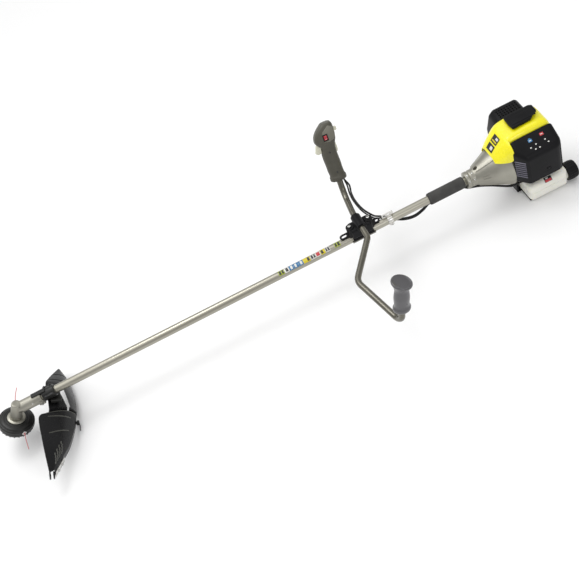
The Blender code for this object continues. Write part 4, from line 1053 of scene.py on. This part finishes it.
halves = smooth_route([(across_half, power, 0) for _, _, _, across_half, power in sections], 3)


def room_at(centre, name, low, high, material=None, bevel=0.001, segments=4):
    """A block round a point of the throttle grip."""
    return block(name, centre + Vector(low), centre + Vector(high), GRIP, material, bevel, segments)


grip_body = placed("throttle_grip_body", skinned([
    oval(Vector((span.y, 0, span.x)), span.z, half.x, Vector((1, 0, 0)), Vector((0, 1, 0)), 80, half.y)
    for span, half in zip(spans, halves)
]), GRIP, None)
combined(grip_body, "DIFFERENCE", [
    block("trigger_room", (0.008, -0.0052, 0.088), (0.060, 0.0052, 0.1385), GRIP, bevel=0.001, segments=2),
    block("lever_room", (-0.040, -0.0048, 0.084), (-0.0125, 0.0048, 0.1300), GRIP, bevel=0.001, segments=2),
    room_at(LOCK_AT, "lock_room", (-0.020, -0.0045, -0.0085), (0.010, 0.0045, 0.0085), None, 0.001, 2),
    room_at(SWITCH_AT, "switch_room", (-0.0066, -0.0065, -0.0092), (0.0066, 0.0100, 0.0092), None, 0.001, 2),
])
for name, node, low, high in (
    ("throttle_grip_right", "throttle_housing", -0.05, 0.00015),
    ("throttle_grip_left", "throttle_cover", -0.00015, 0.05),
):
    half = bpy.data.objects.new(name, grip_body.data.copy())
    bpy.context.scene.collection.objects.link(half)
    combined(
        half, "DIFFERENCE", [block("other_half", (-0.09, low, -0.03), (0.09, high, 0.22), GRIP, bevel=0)]
    )
    half.data.materials.clear()
    half.data.materials.append(grip_brown)
    resmoothed(half, 38)
    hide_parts(node)
    ride("machine", half)
bpy.data.objects.remove(grip_body)

panel_outline = [
    (-0.0285, 0.1330), (-0.0320, 0.1500), (-0.0300, 0.1700), (-0.0180, 0.1770), (0.0050, 0.1620),
    (0.0095, 0.1480), (0.0080, 0.1310), (-0.0080, 0.1270),
]
panel_grey = finish("switch_panel_grey", (0.145, 0.140, 0.110), 0.36, grain=1300, bump=0.10, mottle=0.10)
panel = placed(
    "switch_panel", skinned([[(x, y, z) for x, z in panel_outline] for y in (0.0150, 0.0222)]), GRIP,
    panel_grey, 30,
)
edges_eased(panel, 0.0022, 4)
combined(panel, "DIFFERENCE", [
    room_at(SWITCH_AT, "panel_switch_room", (-0.0066, -0.0065, -0.0092), (0.0066, 0.0100, 0.0092)),
])
resmoothed(panel, 30)
bezel = room_at(
    SWITCH_AT, "switch_bezel", (-0.0082, 0.0016, -0.0108), (0.0082, 0.0046, 0.0108), shell_black, 0.0008
)
combined(bezel, "DIFFERENCE", [
    room_at(SWITCH_AT, "bezel_room", (-0.0063, -0.01, -0.0088), (0.0063, 0.01, 0.0088), None, 0.0006),
])
resmoothed(bezel)
ride("machine", panel, bezel)
ivory_button = finish("ivory_button", (0.66, 0.65, 0.52), 0.32, grain=1500, bump=0.03, mottle=0.05, coat=0.2)
switch_red = finish("switch_red", (0.40, 0.008, 0.02), 0.28, grain=1500, bump=0.02, mottle=0.06, coat=0.4)
softened("throttle_trigger", "trigger_blade", ivory_button, 0.0014, 4)
softened("lockoff_lever", "lockoff_blade", ivory_button, 0.0012, 4)
softened("stop_switch", "stop_rocker", switch_red, 0.0005, 3)
softened("start_lock_button", "start_lock_slider", ivory_button, 0.0008, 3)
serrations = [
    [
        LOCK_AT + Vector((-0.0137, y, z)) for y in (-0.0032, 0.0032)
    ] for z in (-0.0040, -0.0020, 0.0, 0.0020, 0.0040)
]
bead("start_lock_serrations", serrations, 0.0006, ivory_button, "start_lock", GRIP, 8)
switch_mark = [SWITCH_AT + Vector((x, 0.0049, -0.0042)) for x in (-0.0022, 0.0022)]
bead("stop_rocker_mark", [switch_mark], 0.0004, pale_plastic, "engine_switch", GRIP, 8)
screws(
    "grip_screws",
    [((x, 0.0186, z), (0, 1, 0)) for x, z in ((0.0, 0.030), (0.002, 0.096), (-0.018, 0.172))], 0.0022,
    "machine", black_steel, GRIP,
)


# Throttle cable and stop wire: a sheathed steel cable and a two-core wire, both black, side by side
# from the grip round the clamp, under the tube, through the foam and up into the engine.
cable_black = finish("cable_black", (0.009, 0.009, 0.009), 0.40, grain=800, bump=0.04, mottle=0.2, shine=0.35)
CABLE_ROUTE = [
    (1.1310, 0.1360, 0.0740), (1.1250, 0.1150, 0.0630), (1.1230, 0.0850, 0.0565), (1.1300, 0.0440, 0.0480),
    (1.1480, 0.0165, 0.0330), (1.1610, 0.0195, 0.0170), (1.1770, 0.0235, 0.0010), (1.1940, 0.0205, -0.0130),
    (1.2080, 0.0130, -0.0250), (1.2350, 0.0005, -0.0325), (1.2670, -0.0020, -0.0385),
    (1.2960, -0.0022, -0.0300), (1.3120, -0.0022, -0.0195), (1.3260, -0.0022, -0.0153),
    (1.3950, -0.0022, -0.0151), (1.4300, -0.0022, -0.0154), (1.4420, -0.0026, -0.0240),
    (1.4540, -0.0046, -0.0315), (1.4800, -0.0145, -0.0325), (1.5140, -0.0310, -0.0380),
    (1.5450, -0.0380, -0.0550), (1.5740, -0.0400, -0.0725), (1.5960, -0.0500, -0.0640),
    (1.6180, -0.0640, -0.0480), (1.6320, -0.0700, -0.0340), (1.6340, -0.0700, -0.0165),
]
WIRE_ROUTE = [
    (1.1250, 0.1400, 0.0720), (1.1200, 0.1180, 0.0590), (1.1190, 0.0850, 0.0520), (1.1260, 0.0420, 0.0440),
    (1.1440, 0.0120, 0.0300), (1.1560, 0.0150, 0.0150), (1.1740, 0.0190, 0.0000), (1.1920, 0.0168, -0.0100),
    (1.2080, 0.0120, -0.0200), (1.2350, 0.0050, -0.0300), (1.2670, 0.0030, -0.0370),
    (1.2960, 0.0026, -0.0290), (1.3120, 0.0026, -0.0190), (1.3260, 0.0026, -0.0153),
    (1.3950, 0.0026, -0.0151), (1.4300, 0.0026, -0.0154), (1.4420, 0.0020, -0.0240),
    (1.4540, 0.0000, -0.0315), (1.4800, -0.0095, -0.0335), (1.5140, -0.0250, -0.0410),
    (1.5450, -0.0320, -0.0580), (1.5740, -0.0340, -0.0745), (1.5900, -0.0340, -0.0690),
    (1.6000, -0.0320, -0.0600), (1.6200, -0.0290, -0.0525),
]
for name, node, route, side_shift, radius in (
    ("throttle_cable_sheath", "throttle_cable", CABLE_ROUTE, 0.0026, 0.0028),
    ("stop_wire_sheath", "stop_wire", WIRE_ROUTE, -0.0026, 0.0025),
):
    in_grip = [GRIP @ Vector((-0.0150, side_shift, height)) for height in (0.009, -0.006)]
    made = bead(name, [smooth_route([*in_grip, *route], 6)], radius, cable_black, "machine")
    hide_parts(node)


# Harness hanger and foam: a bright steel band with an eye for the harness hook, and a long sleeve of
# closed-cell foam that pads the tube ahead of the engine.
hanger = turned(
    "hanger_band", [(-0.008, 0.0130), (-0.008, 0.0148), (0.008, 0.0148), (0.008, 0.0130)],
    along_shaft(1.190), bright_steel, loop=True, ease=0.0004,
)
hanger_plate = block("hanger_plate", (1.1680, -0.0014, 0.0142), (1.2050, 0.0014, 0.0325), HERE, bevel=0.0010)
hanger_ear = block("hanger_ear", (1.1835, -0.0175, -0.0090), (1.1965, -0.0130, -0.0010), HERE, bevel=0.001)
combined(hanger, "UNION", [hanger_plate, hanger_ear])
combined(hanger, "DIFFERENCE", [
    rod("hanger_hole", 0.0044, (1.190, -0.01, 0.0240), (1.190, 0.01, 0.0240)),
    rod("hanger_front_hole", 0.0044, (1.1765, -0.01, 0.0240), (1.1765, 0.01, 0.0240)),
    rod("hanger_bore", 0.0130, (1.16, 0, 0), (1.22, 0, 0), 96),
])
resmoothed(hanger, 35)
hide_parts("harness_hanger")
ride("machine", hanger)
screws("hanger_screw", [((1.190, -0.0176, -0.0050), (0, -1, 0))], 0.0028, "machine")

foam_grey = finish("foam_grey", (0.050, 0.049, 0.047), 0.88, grain=420, bump=0.65, mottle=0.25, patch=30)
foam = turned(
    "foam_pad",
    [
        (1.322, 0.0131), (1.322, 0.0165), (1.3245, 0.0186), (1.330, 0.0190), (1.434, 0.0190),
        (1.4395, 0.0186), (1.442, 0.0165), (1.442, 0.0131),
    ],
    along_shaft(0), foam_grey, loop=True, ease=0.0012,
)
combined(foam, "DIFFERENCE", [
    block("foam_slot", (1.30, -0.0052, -0.0176), (1.42, 0.0052, -0.0100), HERE, bevel=0),
    block("foam_exit", (1.41, -0.0056, -0.0220), (1.46, 0.0056, -0.0100), HERE, bevel=0),
])
resmoothed(foam, 35)
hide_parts("foam_sleeve")
ride("machine", foam)


# Clutch housing: a cast aluminium cone that joins the tube to the engine. Its collar is pinched on
# the tube by two screws, and low ribs and two slots run up the cone.
housing = turned("clutch_housing_casting", [
    (1.4480, 0.0130), (1.4480, 0.0262), (1.4495, 0.0270), (1.4590, 0.0270), (1.4605, 0.0258),
    (1.4635, 0.0258), (1.4650, 0.0270), (1.4760, 0.0270), (1.4800, 0.0292), (1.5100, 0.0430),
    (1.5765, 0.0742), (1.5795, 0.0752), (1.5832, 0.0752), (1.5832, 0.0722), (1.5755, 0.0707),
    (1.5090, 0.0385), (1.5060, 0.0150), (1.4930, 0.0140), (1.4930, 0.0130),
], along_shaft(0), cast_aluminium, steps=128, loop=True, ease=0.0012)
CONE_START, CONE_START_RADIUS, CONE_END, CONE_END_RADIUS = 1.4800, 0.0292, 1.5765, 0.0742
cone_slope = (CONE_END_RADIUS - CONE_START_RADIUS) / (CONE_END - CONE_START)


def on_cone(x, angle, lift=0.0):
    """A point on the cone, at an angle from straight up towards the operator's left."""
    radius = CONE_START_RADIUS + cone_slope * (x - CONE_START) + lift
    return Vector((x, -radius * sin(angle), radius * cos(angle)))


hole_at = on_cone(1.4862, radians(1))
combined(housing, "DIFFERENCE", [
    rod("housing_hole", 0.0064, hole_at - Vector((0, 0, 0.010)), hole_at + Vector((0, 0, 0.012))),
    rod("housing_slot_1", 0.0019, on_cone(1.4930, radians(70)), on_cone(1.5120, radians(66)), 16),
    rod("housing_slot_2", 0.0019, on_cone(1.4950, radians(80)), on_cone(1.5150, radians(76)), 16),
])
resmoothed(housing, 34)
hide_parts("clutch_housing")
ride("machine", housing)
cone_ribs = [
    [
        on_cone(1.482 + 0.090 * i / 12, radians(angle), 0.0004) for i in range(13)
    ] for angle in (-60, 24, 128, 180, -130)
]
bead("clutch_housing_ribs", cone_ribs, 0.0018, cast_aluminium, "machine")
screws("housing_pinch_screws", [
    ((1.4545, -0.0090, 0.0255), (0, -0.3, 0.95)), ((1.4545, -0.0235, 0.0132), (0, -0.87, 0.49)),
    ((1.4705, -0.0090, 0.0255), (0, -0.3, 0.95)), ((1.4705, -0.0235, 0.0132), (0, -0.87, 0.49)),
], 0.0030, "machine")


# Engine cover: one glossy yellow moulding over the cylinder. It starts as an arch on the clutch
# cone, widens, and runs back to the starter, with a low black cap on its crown.
cover_yellow = finish(
    "cover_yellow", (0.90, 0.82, 0.008), 0.27, grain=1100, bump=0.03, mottle=0.05, coat=0.35,
    second=(0.85, 0.77, 0.007),
)
ARCHES = [
    # x, left half width, right half width, top, right lower edge, corner radius, left lower edge
    (1.5350, 0.048, 0.047, 0.0640, 0.034, 0.030, 0.0540),
    (1.5520, 0.060, 0.053, 0.0850, 0.038, 0.034, 0.0580),
    (1.5760, 0.073, 0.057, 0.1100, 0.038, 0.034, 0.0610),
    (1.5852, 0.075, 0.057, 0.1165, 0.038, 0.030, 0.0780),
    (1.5858, 0.044, 0.0510, 0.1170, 0.038, 0.018, 0.0380),
    (1.6040, 0.044, 0.0510, 0.1230, 0.038, 0.018, 0.0380),
    (1.6500, 0.044, 0.0510, 0.1270, 0.038, 0.018, 0.0380),
    (1.6950, 0.044, 0.0510, 0.1250, 0.038, 0.018, 0.0380),
    (1.7160, 0.044, 0.0510, 0.1170, 0.038, 0.020, 0.0380),
    (1.7260, 0.041, 0.0480, 0.1000, 0.038, 0.024, 0.0380),
]


CORNER_STEPS, SIDE_STEPS, TOP_STEPS = 14, 3, 6


def arch_row(station):
    """Points over one arch, from the lower left edge to the lower right one. A left edge that is
    higher than the flank leaves the flank out, and the corner starts part of the way round."""
    x, left, right, top, low, bend, left_low = station
    row = []
    above_flank = left_low - (top - bend)
    first_turn = asin(above_flank / bend) if above_flank > 0 else 0.0
    flank_steps = 0 if above_flank > 0 else SIDE_STEPS
    for share in range(flank_steps):
        row.append(Vector((x, -left, left_low - above_flank * share / SIDE_STEPS)))
    round_steps = CORNER_STEPS + SIDE_STEPS - flank_steps
    for i in range(round_steps + 1):
        angle = first_turn + (pi / 2 - first_turn) * i / round_steps
        row.append(Vector((x, -(left - bend + bend * cos(angle)), top - bend + bend * sin(angle))))
    for share in range(1, TOP_STEPS):
        row.append(Vector((x, -(left - bend) + (left - bend + right - bend) * share / TOP_STEPS, top)))
    for i in range(CORNER_STEPS, -1, -1):
        angle = pi / 2 * i / CORNER_STEPS
        row.append(Vector((x, right - bend + bend * cos(angle), top - bend + bend * sin(angle))))
    for share in range(SIDE_STEPS - 1, -1, -1):
        row.append(Vector((x, right, low + (top - bend - low) * share / SIDE_STEPS)))
    return row


def between(stations, pieces):
    """Stations with smooth ones put in between, apart from the step where the filter cover starts."""
    found = []
    for part in (stations[:4], stations[4:]):
        first = smooth_route([station[:3] for station in part], pieces)
        second = smooth_route([station[3:] for station in part], pieces)
        found += [(*a, *b) for a, b in zip(first, second)]
    return found


hood = placed(
    "engine_cover_moulding", skinned([arch_row(s) for s in between(ARCHES, 5)], ends=False, open_rows=True),
    HERE, cover_yellow, 40,
)
hood_wall = hood.modifiers.new("wall", "SOLIDIFY")
hood_wall.thickness, hood_wall.offset = 0.0022, -1
settled(hood)
edges_eased(hood, 0.0009, 3, 35)
resmoothed(hood, 38)
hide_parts("engine_cover")
ride("machine", hood)

softened("top_cap", "top_cap_moulding", moulding_black, 0.0028, 4)
cap_ridge = block(
    "top_cap_ridge", (1.6180, -0.0140, 0.1380), (1.6960, 0.0180, 0.1398), HERE, moulding_black, bevel=0.0008
)
ride("machine", cap_ridge)


def on_hood_front(lift):
    """The sloping front of the yellow cover, by distance up the slope and across it."""
    def point(x, y):
        for (x0, _, _, top0, *_), (x1, _, _, top1, *_) in zip(ARCHES, ARCHES[1:4]):
            if x <= x1:
                break
        return Vector((x, y, top0 + (top1 - top0) * (x - x0) / (x1 - x0) + lift))
    return point


front = on_hood_front(0.0011)
higher = on_hood_front(0.0014)
joined("cover_front_marks", [
    patch("mark_ground_low", front, (1.5400, -0.014), (1.5540, 0.018), "black"),
    patch("mark_ground_high", front, (1.5570, -0.014), (1.5740, 0.018), "black"),
    patch("mark_bar_1", higher, (1.5435, -0.008), (1.5505, 0.004), "white"),
    patch("mark_bar_2", higher, (1.5600, -0.010), (1.5630, 0.014), "yellow"),
    patch("mark_bar_3", higher, (1.5660, -0.010), (1.5710, 0.002), "white"),
], "machine")


# Air filter cover: a deep black moulding on the left of the engine, with a sloping top, a big corner
# radius and a slanted, louvred front. It is held by one latch in a dimple.
# COVER_CORNERS are (x, y, bend radius) round its outline, from the open side's front to its rear.
open_side, outer_side = -0.0465, -0.1090
cover_bottom, cover_top_in, cover_top_out = -0.0260, 0.1110, 0.0800


COVER_CORNERS = [
    (1.5865, open_side, 0), (1.5795, -0.0730, 0.008), (1.6080, outer_side, 0.014),
    (1.7250, outer_side, 0.024), (1.7260, open_side, 0),
]
COVER_ROUNDING = 0.0135


def cover_top(y, drop):
    share = (open_side - y) / (open_side - outer_side)
    return cover_top_in + (cover_top_out - cover_top_in) * share - drop


def cover_ring(inset, z_of):
    """The cover's outline, moved in by the inset on every side but the open one."""
    ways = [(Vector(b[:2]) - Vector(a[:2])).normalized() for a, b in zip(COVER_CORNERS, COVER_CORNERS[1:])]
    inward = [Vector((-way.y, way.x)) for way in ways]
    corners = []
    for i, (x, y, bend) in enumerate(COVER_CORNERS):
        if 0 < i < len(ways):
            move = (inward[i - 1] + inward[i]) / (1 + inward[i - 1].dot(inward[i])) * inset
        else:
            move = Vector((inward[min(i, len(ways) - 1)].x, 0)) * inset
        corners.append((x + move.x, y + move.y, 0, max(bend - inset, 0.0008)))
    return [Vector((point.x, point.y, z_of(point.y))) for point in filleted(corners, 8)]


cover_rings = [
    cover_ring(0.0020, lambda y: cover_bottom), cover_ring(0.0, lambda y: cover_bottom + 0.0020),
    cover_ring(0.0, lambda y: 0.030),
]
for step in range(9):
    turn = pi / 2 * step / 8
    cover_rings.append(
        cover_ring(COVER_ROUNDING * (1 - cos(turn)), lambda y: cover_top(y, COVER_ROUNDING * (1 - sin(turn))))
    )
filter_cover = placed("air_filter_cover_moulding", skinned(cover_rings), HERE, moulding_black, 30)
combined(filter_cover, "DIFFERENCE", [
    rod("latch_dimple", 0.0075, (1.6706, -0.1120, 0.0035), (1.6706, -0.1055, 0.0035)),
    rod("primer_way", 0.0096, (1.6510, -0.0760, -0.0300), (1.6510, -0.0760, -0.0160)),
    rod("cable_way", 0.0030, (1.6340, -0.0700, -0.0300), (1.6340, -0.0700, -0.0160), 24),
    block("cover_inside", (1.6300, -0.1040, -0.0235), (1.7230, -0.0400, 0.0750), HERE, bevel=0.004),
])
resmoothed(filter_cover, 30)
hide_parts("air_filter_cover")
latch = turned("filter_cover_latch", [(-0.0010, 0.0062), (0.0030, 0.0062), (0.0036, 0.0052)],
               axis_frame(
                   (1.6706, -0.1060, 0.0035), (0, -1, 0), (1, 0, 0)
               ), moulding_black, steps=40, ease=0.0006)
latch_grip = block(
    "filter_cover_latch_bar", (1.6650, -0.1088, 0.0022), (1.6762, -0.1062, 0.0048), HERE, moulding_black,
    bevel=0.0006,
)
ride("machine", filter_cover, latch, latch_grip)

louvre_grey = finish("louvre_grey", (0.115, 0.110, 0.145), 0.38, grain=1300, bump=0.06, mottle=0.15)
slant_start, slant_end = (Vector((*corner[:2], 0)) for corner in COVER_CORNERS[1:3])
slant_way = (slant_end - slant_start).normalized()
slant_out = Vector((slant_way.y, -slant_way.x, 0))

slat_tree, given, result = tree_of("stack_of_slats", [
    ("Count", "NodeSocketInt"), ("Pitch", "NodeSocketFloat"), ("Size", "NodeSocketVector"),
    ("Tilt", "NodeSocketFloat"), ("Material", "NodeSocketMaterial"),
])
stack = slat_tree.nodes.new("GeometryNodeMeshLine")
pitch_up = slat_tree.nodes.new("ShaderNodeCombineXYZ")
slat = slat_tree.nodes.new("GeometryNodeMeshCylinder")
slat.inputs[
    "Vertices"
].default_value, slat.inputs["Radius"].default_value, slat.inputs["Depth"].default_value = 20, 0.5, 1.0
lay_down = slat_tree.nodes.new("GeometryNodeTransform")
lay_down.inputs["Rotation"].default_value = (0, pi / 2, 0)
tilt_by = slat_tree.nodes.new("ShaderNodeCombineXYZ")
slats = slat_tree.nodes.new("GeometryNodeInstanceOnPoints")
slat_tree.links.new(given.outputs["Count"], stack.inputs["Count"])
slat_tree.links.new(given.outputs["Pitch"], pitch_up.inputs["Z"])
slat_tree.links.new(pitch_up.outputs["Vector"], stack.inputs["Offset"])
slat_tree.links.new(slat.outputs["Mesh"], lay_down.inputs["Geometry"])
slat_tree.links.new(given.outputs["Tilt"], tilt_by.inputs["X"])
slat_tree.links.new(stack.outputs["Mesh"], slats.inputs["Points"])
slat_tree.links.new(lay_down.outputs["Geometry"], slats.inputs["Instance"])
slat_tree.links.new(tilt_by.outputs["Vector"], slats.inputs["Rotation"])
slat_tree.links.new(given.outputs["Size"], slats.inputs["Scale"])
closed_tree(slat_tree, slats.outputs["Instances"], given, result)


def slats_at(name, count, pitch, size, tilt, place, material, body):
    """Rounded slats stacked along the place's Z, each lying along its X."""
    made = grown(
        name, slat_tree, {"Count": count, "Pitch": pitch, "Size": size, "Tilt": tilt, "Material": material},
        place,
    )
    ride(body, made)
    return made


louvre_place = Matrix((slant_way, slant_out, Vector((0, 0, 1)))).transposed().to_4x4()
louvre_place.translation = slant_start.lerp(slant_end, 0.48) + Vector((0, 0, 0.0020)) + slant_out * 0.0002
slats_at(
    "filter_cover_louvres", 8, 0.0084, (0.034, 0.0042, 0.0026), radians(-30), louvre_place, louvre_grey,
    "machine",
)


def on_cover_top(lift):
    return lambda x, y: Vector((x, y, cover_top(y, 0) + lift))


top_low, top_high = on_cover_top(0.0002), on_cover_top(0.0004)
marks = [
    patch("mark_blue_a", top_low, (1.6370, -0.0700), (1.6490, -0.0620), "blue", 3, 3),
    patch("mark_blue_b", top_low, (1.6400, -0.0620), (1.6460, -0.0590), "blue", 3, 3),
    patch("mark_blue_c", top_high, (1.6395, -0.0670), (1.6465, -0.0650), "white", 3, 3),
    patch("mark_red_a", top_low, (1.6760, -0.0670), (1.6880, -0.0590), "red", 3, 3),
    patch("mark_red_b", top_high, (1.6785, -0.0640), (1.6855, -0.0620), "white", 3, 3),
]
for number, (x, y) in enumerate(
    (
        (1.6345, -0.0847), (1.6530, -0.0812), (1.6584, -0.0933), (1.6831, -0.0801), (1.6884, -0.0900),
        (1.6450, -0.0930),
    )
):
    marks.append(
        patch(
            f"mark_dot_{number}", top_low, (x - 0.0022, y - 0.0016), (x + 0.0022, y + 0.0016), "white", 3, 3
        )
    )
joined("filter_cover_marks", marks, "machine")


# Muffler guard and muffler: a black vented moulding on the right keeps hands off the hot steel box.
GUARD_SIDE = [
    (1.5870, -0.0420), (1.5865, 0.0500), (1.6000, 0.1000), (1.6150, 0.1130), (1.6900, 0.1130),
    (1.7000, 0.1000), (1.7000, -0.0420),
]
ROOM_SIDE = [
    (1.5895, -0.0395), (1.5890, 0.0495), (1.6022, 0.0985), (1.6160, 0.1105), (1.6890, 0.1105),
    (1.6975, 0.0990), (1.6975, -0.0395),
]


def side_box(name, outline, start, stop, ease):
    """A box that has the given outline seen from the side, between two distances from the middle."""
    sides = [[Vector((x, y, z)) for x, z in outline] for y in (start, stop)]
    return edges_eased(placed(name, skinned(sides), HERE, moulding_black, 30), ease, 5)


muffler_guard = side_box("muffler_guard_moulding", GUARD_SIDE, 0.0535, 0.1100, 0.0075)
vents = []
for row in range(4):
    for column in range(8):
        x, y = 1.6200 + 0.0090 * column, 0.0640 + 0.0090 * row
        vents.append(rod(f"vent_{row}_{column}", 0.0026, (x, y, 0.1090), (x, y, 0.1150), 16))
vent_cutter = merged("vents", vents)
combined(
    muffler_guard, "DIFFERENCE", [side_box("guard_room", ROOM_SIDE, 0.0100, 0.1075, 0.0060), vent_cutter]
)
resmoothed(muffler_guard, 30)
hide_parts("muffler_guard")
ride("machine", muffler_guard)
side_louvres = Matrix.Translation((1.6450, 0.1097, -0.0250))
slats_at(
    "muffler_guard_louvres", 9, 0.0125, (0.078, 0.0030, 0.0042), 0.0, side_louvres, moulding_black,
    "machine",
)
heat_steel = finish(
    "heat_tinted_steel", (0.40, 0.34, 0.28), 0.36, 1.0, mottle=0.2, second=(0.22, 0.20, 0.24), patch=30
)
softened("muffler", "muffler_box", heat_steel, 0.0008, 2)


# Fuel tank: a translucent ivory blow moulding under the engine, with a pinched seam round its middle.
# Its black cap is ribbed for the fingers and sits on a neck at the rear left.
tank_ivory = finish("tank_ivory", (0.82, 0.81, 0.74), 0.34, grain=700, bump=0.06, mottle=0.04, coat=0.15)
tank_ivory.node_tree.nodes["Principled BSDF"].inputs["Subsurface Weight"].default_value = 0.25
tank_ivory.node_tree.nodes["Principled BSDF"].inputs["Subsurface Radius"].default_value = (0.01, 0.009, 0.006)
FILLER_Y, FILLER_Z = -0.060, -0.1060
TANK_LOW, TANK_HIGH, TANK_BEND = Vector((1.6120, -0.0860, -0.1360)), Vector((1.7420, 0.0580, -0.0680)), 0.0145
tank = block("fuel_tank_moulding", TANK_LOW, TANK_HIGH, HERE, None, bevel=TANK_BEND, segments=8)
combined(
    tank, "UNION", [rod("tank_neck", 0.0200, (1.7350, FILLER_Y, FILLER_Z), (1.7570, FILLER_Y, FILLER_Z))]
)
moulded(tank, 0.0014, 5)
tank.data.materials.append(tank_ivory)
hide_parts("fuel_tank")
SEAM_HEIGHT, STEPS_PER_CORNER = -0.1010, 8
inner_low, inner_high = (TANK_LOW.x + TANK_BEND, TANK_LOW.y + TANK_BEND), (
    TANK_HIGH.x - TANK_BEND, TANK_HIGH.y - TANK_BEND
)
seam_points = []
for centre_x, centre_y, start_angle in (
    (inner_low[0], inner_low[1], 180), (inner_high[0], inner_low[1], 270),
    (inner_high[0], inner_high[1], 0), (inner_low[0], inner_high[1], 90),
):
    for i in range(STEPS_PER_CORNER + 1):
        angle = radians(start_angle + 90 * i / STEPS_PER_CORNER)
        seam_points.append(
            (centre_x + TANK_BEND * cos(angle), centre_y + TANK_BEND * sin(angle), SEAM_HEIGHT)
        )
seam_points.append(seam_points[0])
bead("fuel_tank_seam", [seam_points], 0.0009, tank_ivory, "machine", sides=8)
ride("machine", tank)

cap_place = along_shaft(0, FILLER_Y, FILLER_Z)
fuel_cap = turned("fuel_cap_moulding", [
    (1.7434, 0.0206), (1.7434, 0.0276), (1.7460, 0.0284), (1.7745, 0.0284), (1.7785, 0.0262),
    (1.7800, 0.0225), (1.7786, 0.0200), (1.7780, 0.0060),
], cap_place, moulding_black, steps=96, ease=0.0012)
combined(
    fuel_cap, "DIFFERENCE",
    [rod("cap_room", 0.0204, (1.7300, FILLER_Y, FILLER_Z), (1.7580, FILLER_Y, FILLER_Z))],
)
resmoothed(fuel_cap)
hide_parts("fuel_cap")
ride("filler_cap", fuel_cap)
ribs_round(
    "fuel_cap_ribs", 22, 0.0278, (0.0018, 0.0020, 0.0140), 1.7602, cap_place, moulding_black, "filler_cap",
)


def on_tank_shoulder(lift):
    """The rounded upper left edge of the tank, by distance along it and angle down from the top."""
    centre_y, centre_z, radius = TANK_LOW.y + TANK_BEND, TANK_HIGH.z - TANK_BEND, TANK_BEND + lift
    return lambda x, turn: Vector((x, centre_y - radius * sin(turn), centre_z + radius * cos(turn)))


joined("fuel_tank_mark", [
    patch("tank_mark_black", on_tank_shoulder(0.0003), (1.6640, 0.20), (1.6880, 1.35), "black", 4, 10),
    patch("tank_mark_red", on_tank_shoulder(0.0005), (1.6660, 0.75), (1.6860, 1.30), "red", 4, 8),
    patch("tank_mark_white", on_tank_shoulder(0.0005), (1.6690, 0.35), (1.6770, 0.65), "white", 3, 5),
], "machine")


# Starter: a round black housing at the rear over the flywheel, with a pull grip on its face.
starter_shell = turned("starter_housing_moulding", [
    (1.6780, 0.0425), (1.6780, 0.0450), (1.7200, 0.0450), (1.7262, 0.0428), (1.7288, 0.0390),
    (1.7300, 0.0330), (1.7300, 0.0070), (1.7275, 0.0070), (1.7275, 0.0330), (1.7200, 0.0425),
], along_shaft(0), moulding_black, loop=True, ease=0.001)
combined(starter_shell, "DIFFERENCE", [rod("rope_hole", 0.0030, (1.70, 0, -0.030), (1.75, 0, -0.030), 24)])
resmoothed(starter_shell)
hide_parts("starter_housing")
ride("machine", starter_shell)
ribs_round(
    "starter_vents", 24, 0.0350, (0.0050, 0.0011, 0.0016), 1.7296, along_shaft(0), moulding_black,
    "machine",
)
softened("starter_grip", "starter_pull", grip_brown, 0.0006, 2)


# Carried over: pieces inside the covers and the small fittings keep their CAD shape and get a finish
# of their own, and the ones that show get eased edges.
softened("engine_stand", "engine_stand_moulding", moulding_black, 0.0008, 3)
softened("carburettor", "carburettor_body", cast_aluminium, 0.0005, 2)
softened("throttle_arm", "throttle_arm_plate", zinc, 0.0003, 2)
softened("choke_lever", "choke_lever_blade", moulding_black, 0.0008, 3)
primer_red = finish("primer_rubber", (0.62, 0.06, 0.06), 0.22, grain=900, bump=0.02, mottle=0.05, coat=0.5)
primer = turned(
    "primer_bulb_moulding",
    [
        (-0.0320, 0.0008), (-0.0320, 0.0038), (-0.0300, 0.0074), (-0.0262, 0.0086), (-0.0164, 0.0088),
        (-0.0164, 0.0008),
    ],
    Matrix.Translation((1.6510, -0.0760, 0)), primer_red, steps=48, loop=True, ease=0.0012,
)
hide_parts("primer_bulb")
ride("primer", primer)
softened("crankcase", "crankcase_casting", cast_aluminium, 0.0010, 2)
lining_brown = finish("clutch_lining", (0.16, 0.13, 0.10), 0.8, grain=600, bump=0.4, mottle=0.3)
nylon_bush = finish("nylon_bush", (0.70, 0.68, 0.60), 0.5, mottle=0.05)
for node, material in {
    "pinion": bright_steel, "output_gear": bright_steel, "spool": spool_orange, "shaft_bush_1": nylon_bush,
    "shaft_bush_2": nylon_bush,
    "clutch_drum": bright_steel, "clutch_shoe_1": lining_brown, "clutch_shoe_2": lining_brown,
    "crankshaft": bright_steel,
    "connecting_rod": bright_steel, "piston": cast_aluminium, "flywheel": cast_aluminium,
    "cylinder": cast_aluminium,
    "spark_plug": bright_steel, "air_filter_element": foam_grey, "starter_pulley": spool_orange,
}.items():
    frame["nodes"][node].data.materials.clear()
    frame["nodes"][node].data.materials.append(material)

bpy.data.objects.remove(SCREW)
